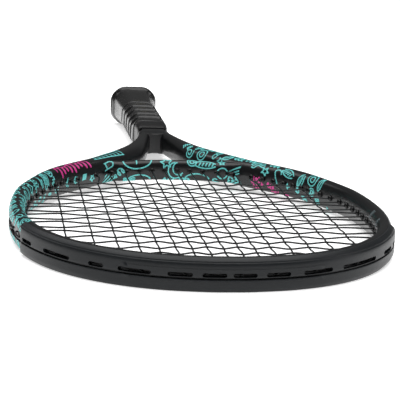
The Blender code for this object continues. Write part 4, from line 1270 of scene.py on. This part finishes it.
# Drawings, in millimetres: distance along the hoop or x on the bridge, v, shape, size, turn, stretch.
BRIDGE_ICONS = [
    (-56, 5.5, "capsule", 14, 25, 1), (-45.5, -0.5, "loops", 11, 35, 1),
    (-27.5, -6.2, "hill", 11, 0, 1.9), (-29, 10.2, "dial", 15.5, 0, 1.6), (-4, 7.2, "star", 10.5, 10, 1),
    (4, 0.5, "moon", 15, 30, 0.9), (18, 8.5, "double", 8, 0, 1), (29, 6.6, "plume", 12, 0, 1.5),
    (43, 10, "star", 6, 0, 1), (22.5, -5, "hill", 11, 0, 1.9), (48, 1, "comet", 19, 0, 1),
    (52.5, -6.2, "petals", 8.5, 0, 1.1), (60.5, -6, "star", 7, 0, 1), (-54.5, -6, "hatch", 10, -20, 1.4),
    (-36, -7.8, "waves", 7, 0, 1.5), (-2, -8, "zigzag", 7, 0, 1.4), (12, -7.8, "loops", 7, 0, 1.4),
    (38, -7.5, "hook", 7, 60, 1.2),
]
HOOP_ICONS = [
    (-337, 14, "curl", 10, 0, 0.9), (-324, 18.5, "double", 15, 20, 0.45),
    (-339, 22.5, "zigzag", 7, 60, 1), (-362, 30, "bolt", 8, 0, 1), (-374, 30, "petals", 6, 0, 1),
    (-395, 33, "star", 6, 0, 1), (-385, 30, "hatch", 6, 0, 1), (494, 16.5, "hatch", 10, 80, 0.6),
    (485.5, 18.5, "hatch", 8, 80, 0.6), (473, 15, "waves", 9, 20, 1), (480, 24, "curl", 11, 0, 1),
    (463, 22.5, "double", 12, 0, 1), (446, 18.5, "capsule", 12, 80, 0.8), (431, 19, "leaf", 11, 30, 1),
    (437, 24, "star", 7, 0, 1), (419, 16.5, "loops", 11, 0, 1), (406, 15, "squiggle", 10, 0, 1),
    (460, 13, "zigzag", 9, 0, 1), (448, 12.5, "squiggle", 8, 0, 1), (432, 12, "zigzag", 8, 0, 1),
    (420, 11, "squiggle", 7, 0, 1), (396, 18.5, "waves", 10, 20, 1.4), (386, 23.5, "star", 8, 10, 1),
    (380, 15, "squiggle", 8, 0, 1.2), (373, 24, "hook", 14, 200, 1.2), (362, 19, "plume", 13, -20, 1.2),
    (345, 21.5, "plume", 14, 60, 0.8), (331, 16.5, "double", 12, 0, 1), (319, 18, "leaf", 13, 70, 0.8),
    (360, 30, "spark", 5, 0, 1), (347, 29, "loops", 8, 60, 1), (329, 27, "double", 7, 0, 1),
    (321, 33, "hatch", 8, 30, 1), (340, 35, "waves", 6, 0, 1), (308, 37, "spark", 5, 0, 1),
]
PINK_ICONS = [
    (397, 33.5, "hook", 7, 0, 1), (390, 32.5, "squiggle", 8, -30, 1), (394, 39, "zigzag", 8, 0, 1),
    (379, 35, "loops", 8, -20, 1), (375, 39, "zigzag", 8, 0, 1), (364, 39, "squiggle", 7, 20, 1),
]


def scrawl(start, end, low, high, loops):
    """A generic scribble of tall loops that says nothing, along the hoop."""
    stroke = []
    for i in range(24 * loops + 1):
        t = i / (24 * loops)
        turn = 2 * math.pi * loops * t
        tall = 0.72 + 0.28 * math.sin(2.3 * 2 * math.pi * t + 0.6)
        stroke.append((start + (end - start) * t + 0.0016 * math.cos(turn),
                       (low + high) / 2 + (high - low) / 2 * tall * math.sin(turn)))
    return ribbon(hoop_point, stroke, LINE_HALF)


def make_drawings():
    rng = random.Random(11)
    left_end = -(BUMPER_END + 0.0022)
    turquoise = []
    for start, end, band, step, size, stretch, lean, half in (
            (-0.330, left_end, 0.0172, 0.0120, 0.0125, 0.72, 22, THIN_HALF),
            (-0.332, left_end, 0.0078, 0.0150, 0.0078, 1.3, 22, THIN_HALF),
            (-0.320, left_end, 0.0345, 0.0150, 0.0070, 1, 0, LINE_HALF),
            (-0.262, left_end, 0.0030, 0.0090, 0.0058, 1.2, 0, THIN_HALF),
            (-0.350, -0.290, 0.0305, 0.0120, 0.0060, 1, 0, LINE_HALF),
            (-0.250, left_end, 0.0480, 0.0120, 0.0068, 1, 0, LINE_HALF)):
        turquoise += fill(rng, start, end, band, step, size, stretch, lean, half)
    strokes = []                                  # the striped plume on the shaft, and its two edges
    for i in range(8):
        u = -0.4520 + 0.0056 * i
        strokes.append([(u, 0.0120 - 0.00042 * i), (u + 0.0035, 0.0210 - 0.00050 * i)])
    strokes.append([(-0.4540, 0.0118), (-0.4300, 0.0098), (-0.4080, 0.0082)])
    strokes.append([(-0.4500, 0.0214), (-0.4300, 0.0192), (-0.4060, 0.0168)])
    turquoise += [ribbon(hoop_point, stroke, STRIPE_HALF) for stroke in strokes]
    turquoise += drawn(hoop_point, HOOP_ICONS) + drawn(bridge_point, BRIDGE_ICONS)
    add("printed_drawings", join(turquoise), TURQUOISE, sharp=30)
    pink = [scrawl(-0.3960, -0.3520, 0.0118, 0.0240, 9)] + drawn(hoop_point, PINK_ICONS)
    add("printed_scribbles", join(pink), PINK, sharp=30)
    grey = []
    for start, end in ((0.2110, 0.2170), (0.1860, 0.1900)):
        for aside in [0.0009 * side for side in (-2, -1, 0, 1, 2)]:
            grey.append(ribbon(hoop_point, [(start + aside, 0.0142), (end + aside, 0.0215)], STRIPE_HALF))
    add("printed_stripes", join(grey), GREY_PRINT, sharp=30)


make_drawings()


# ---------------------------------------------------------------- stage
def make_floor():
    """A pale floor that the butt and the tip both touch."""
    slope = math.atan2(HEAD.z - BUMPER_HALF, LENGTH)
    mesh = bpy.data.meshes.new("floor")
    reach = 8.0
    corners = [(x * reach, y * reach, 0) for x, y in ((-1, -1), (1, -1), (1, 1), (-1, 1))]
    mesh.from_pydata(corners, [], [(0, 1, 2, 3)])
    floor = bpy.data.objects.new("floor", mesh)
    floor.location = (0, cad_high.y, 0)
    floor.rotation_euler = (-slope, 0, 0)
    bpy.context.scene.collection.objects.link(floor)
    paper = look("floor_paper", (0.90, 0.90, 0.90), (0.92, 0.92, 0.92), (0.7, 0.8), 60, 0.02)
    shader = paper.node_tree.nodes["Principled BSDF"]
    shader.inputs["Emission Color"].default_value = (1, 1, 1, 1)
    shader.inputs["Emission Strength"].default_value = 0.55
    floor.data.materials.append(paper)


def area_light(name, place, size, power):
    """A rectangular light that faces the origin."""
    data = bpy.data.lights.new(name, "AREA")
    data.shape = "RECTANGLE"
    data.size, data.size_y = size
    data.energy = power
    light = bpy.data.objects.new(name, data)
    light.location = place
    light.rotation_mode = "QUATERNION"
    light.rotation_quaternion = (Vector() - Vector(place)).to_track_quat("-Z", "Y")
    bpy.context.scene.collection.objects.link(light)


def make_camera():
    """The photograph's viewpoint, fitted to the string crossings and the outline."""
    yaw, pitch, roll = 0.146918, 0.220945, -0.0419345
    ahead = Vector((math.sin(yaw) * math.cos(pitch), math.cos(yaw) * math.cos(pitch), -math.sin(pitch)))
    level = Vector((math.cos(yaw), -math.sin(yaw), 0))
    down = ahead.cross(level)
    right = level * math.cos(roll) + down * math.sin(roll)
    down = down * math.cos(roll) - level * math.sin(roll)
    data = bpy.data.cameras.new("camera")
    data.sensor_width = 36
    data.lens = 36 * 1437.998 / 400
    data.clip_start = 0.01
    camera = bpy.data.objects.new("camera", data)
    turned = Matrix((right, -down, -ahead)).transposed()
    place = Vector((-0.150256, -1.038931, 0.245653)) + HEAD
    camera.matrix_world = Matrix.Translation(place) @ turned.to_4x4()
    bpy.context.scene.collection.objects.link(camera)
    bpy.context.scene.camera = camera


make_floor()
make_camera()
world = bpy.data.worlds.new("studio")
world.use_nodes = True
backdrop = world.node_tree.nodes["Background"].inputs
backdrop["Color"].default_value = (1, 1, 1, 1)
backdrop["Strength"].default_value = 0.10
bpy.context.scene.world = world
bpy.context.scene.view_settings.view_transform = "Standard"
area_light("top", (0.0, 0.0, 2.6), (3.6, 3.6), 112)
area_light("left", (-1.6, 1.2, 1.6), (0.7, 0.7), 5)
area_light("right", (2.0, -0.6, 0.8), (0.5, 1.2), 5)
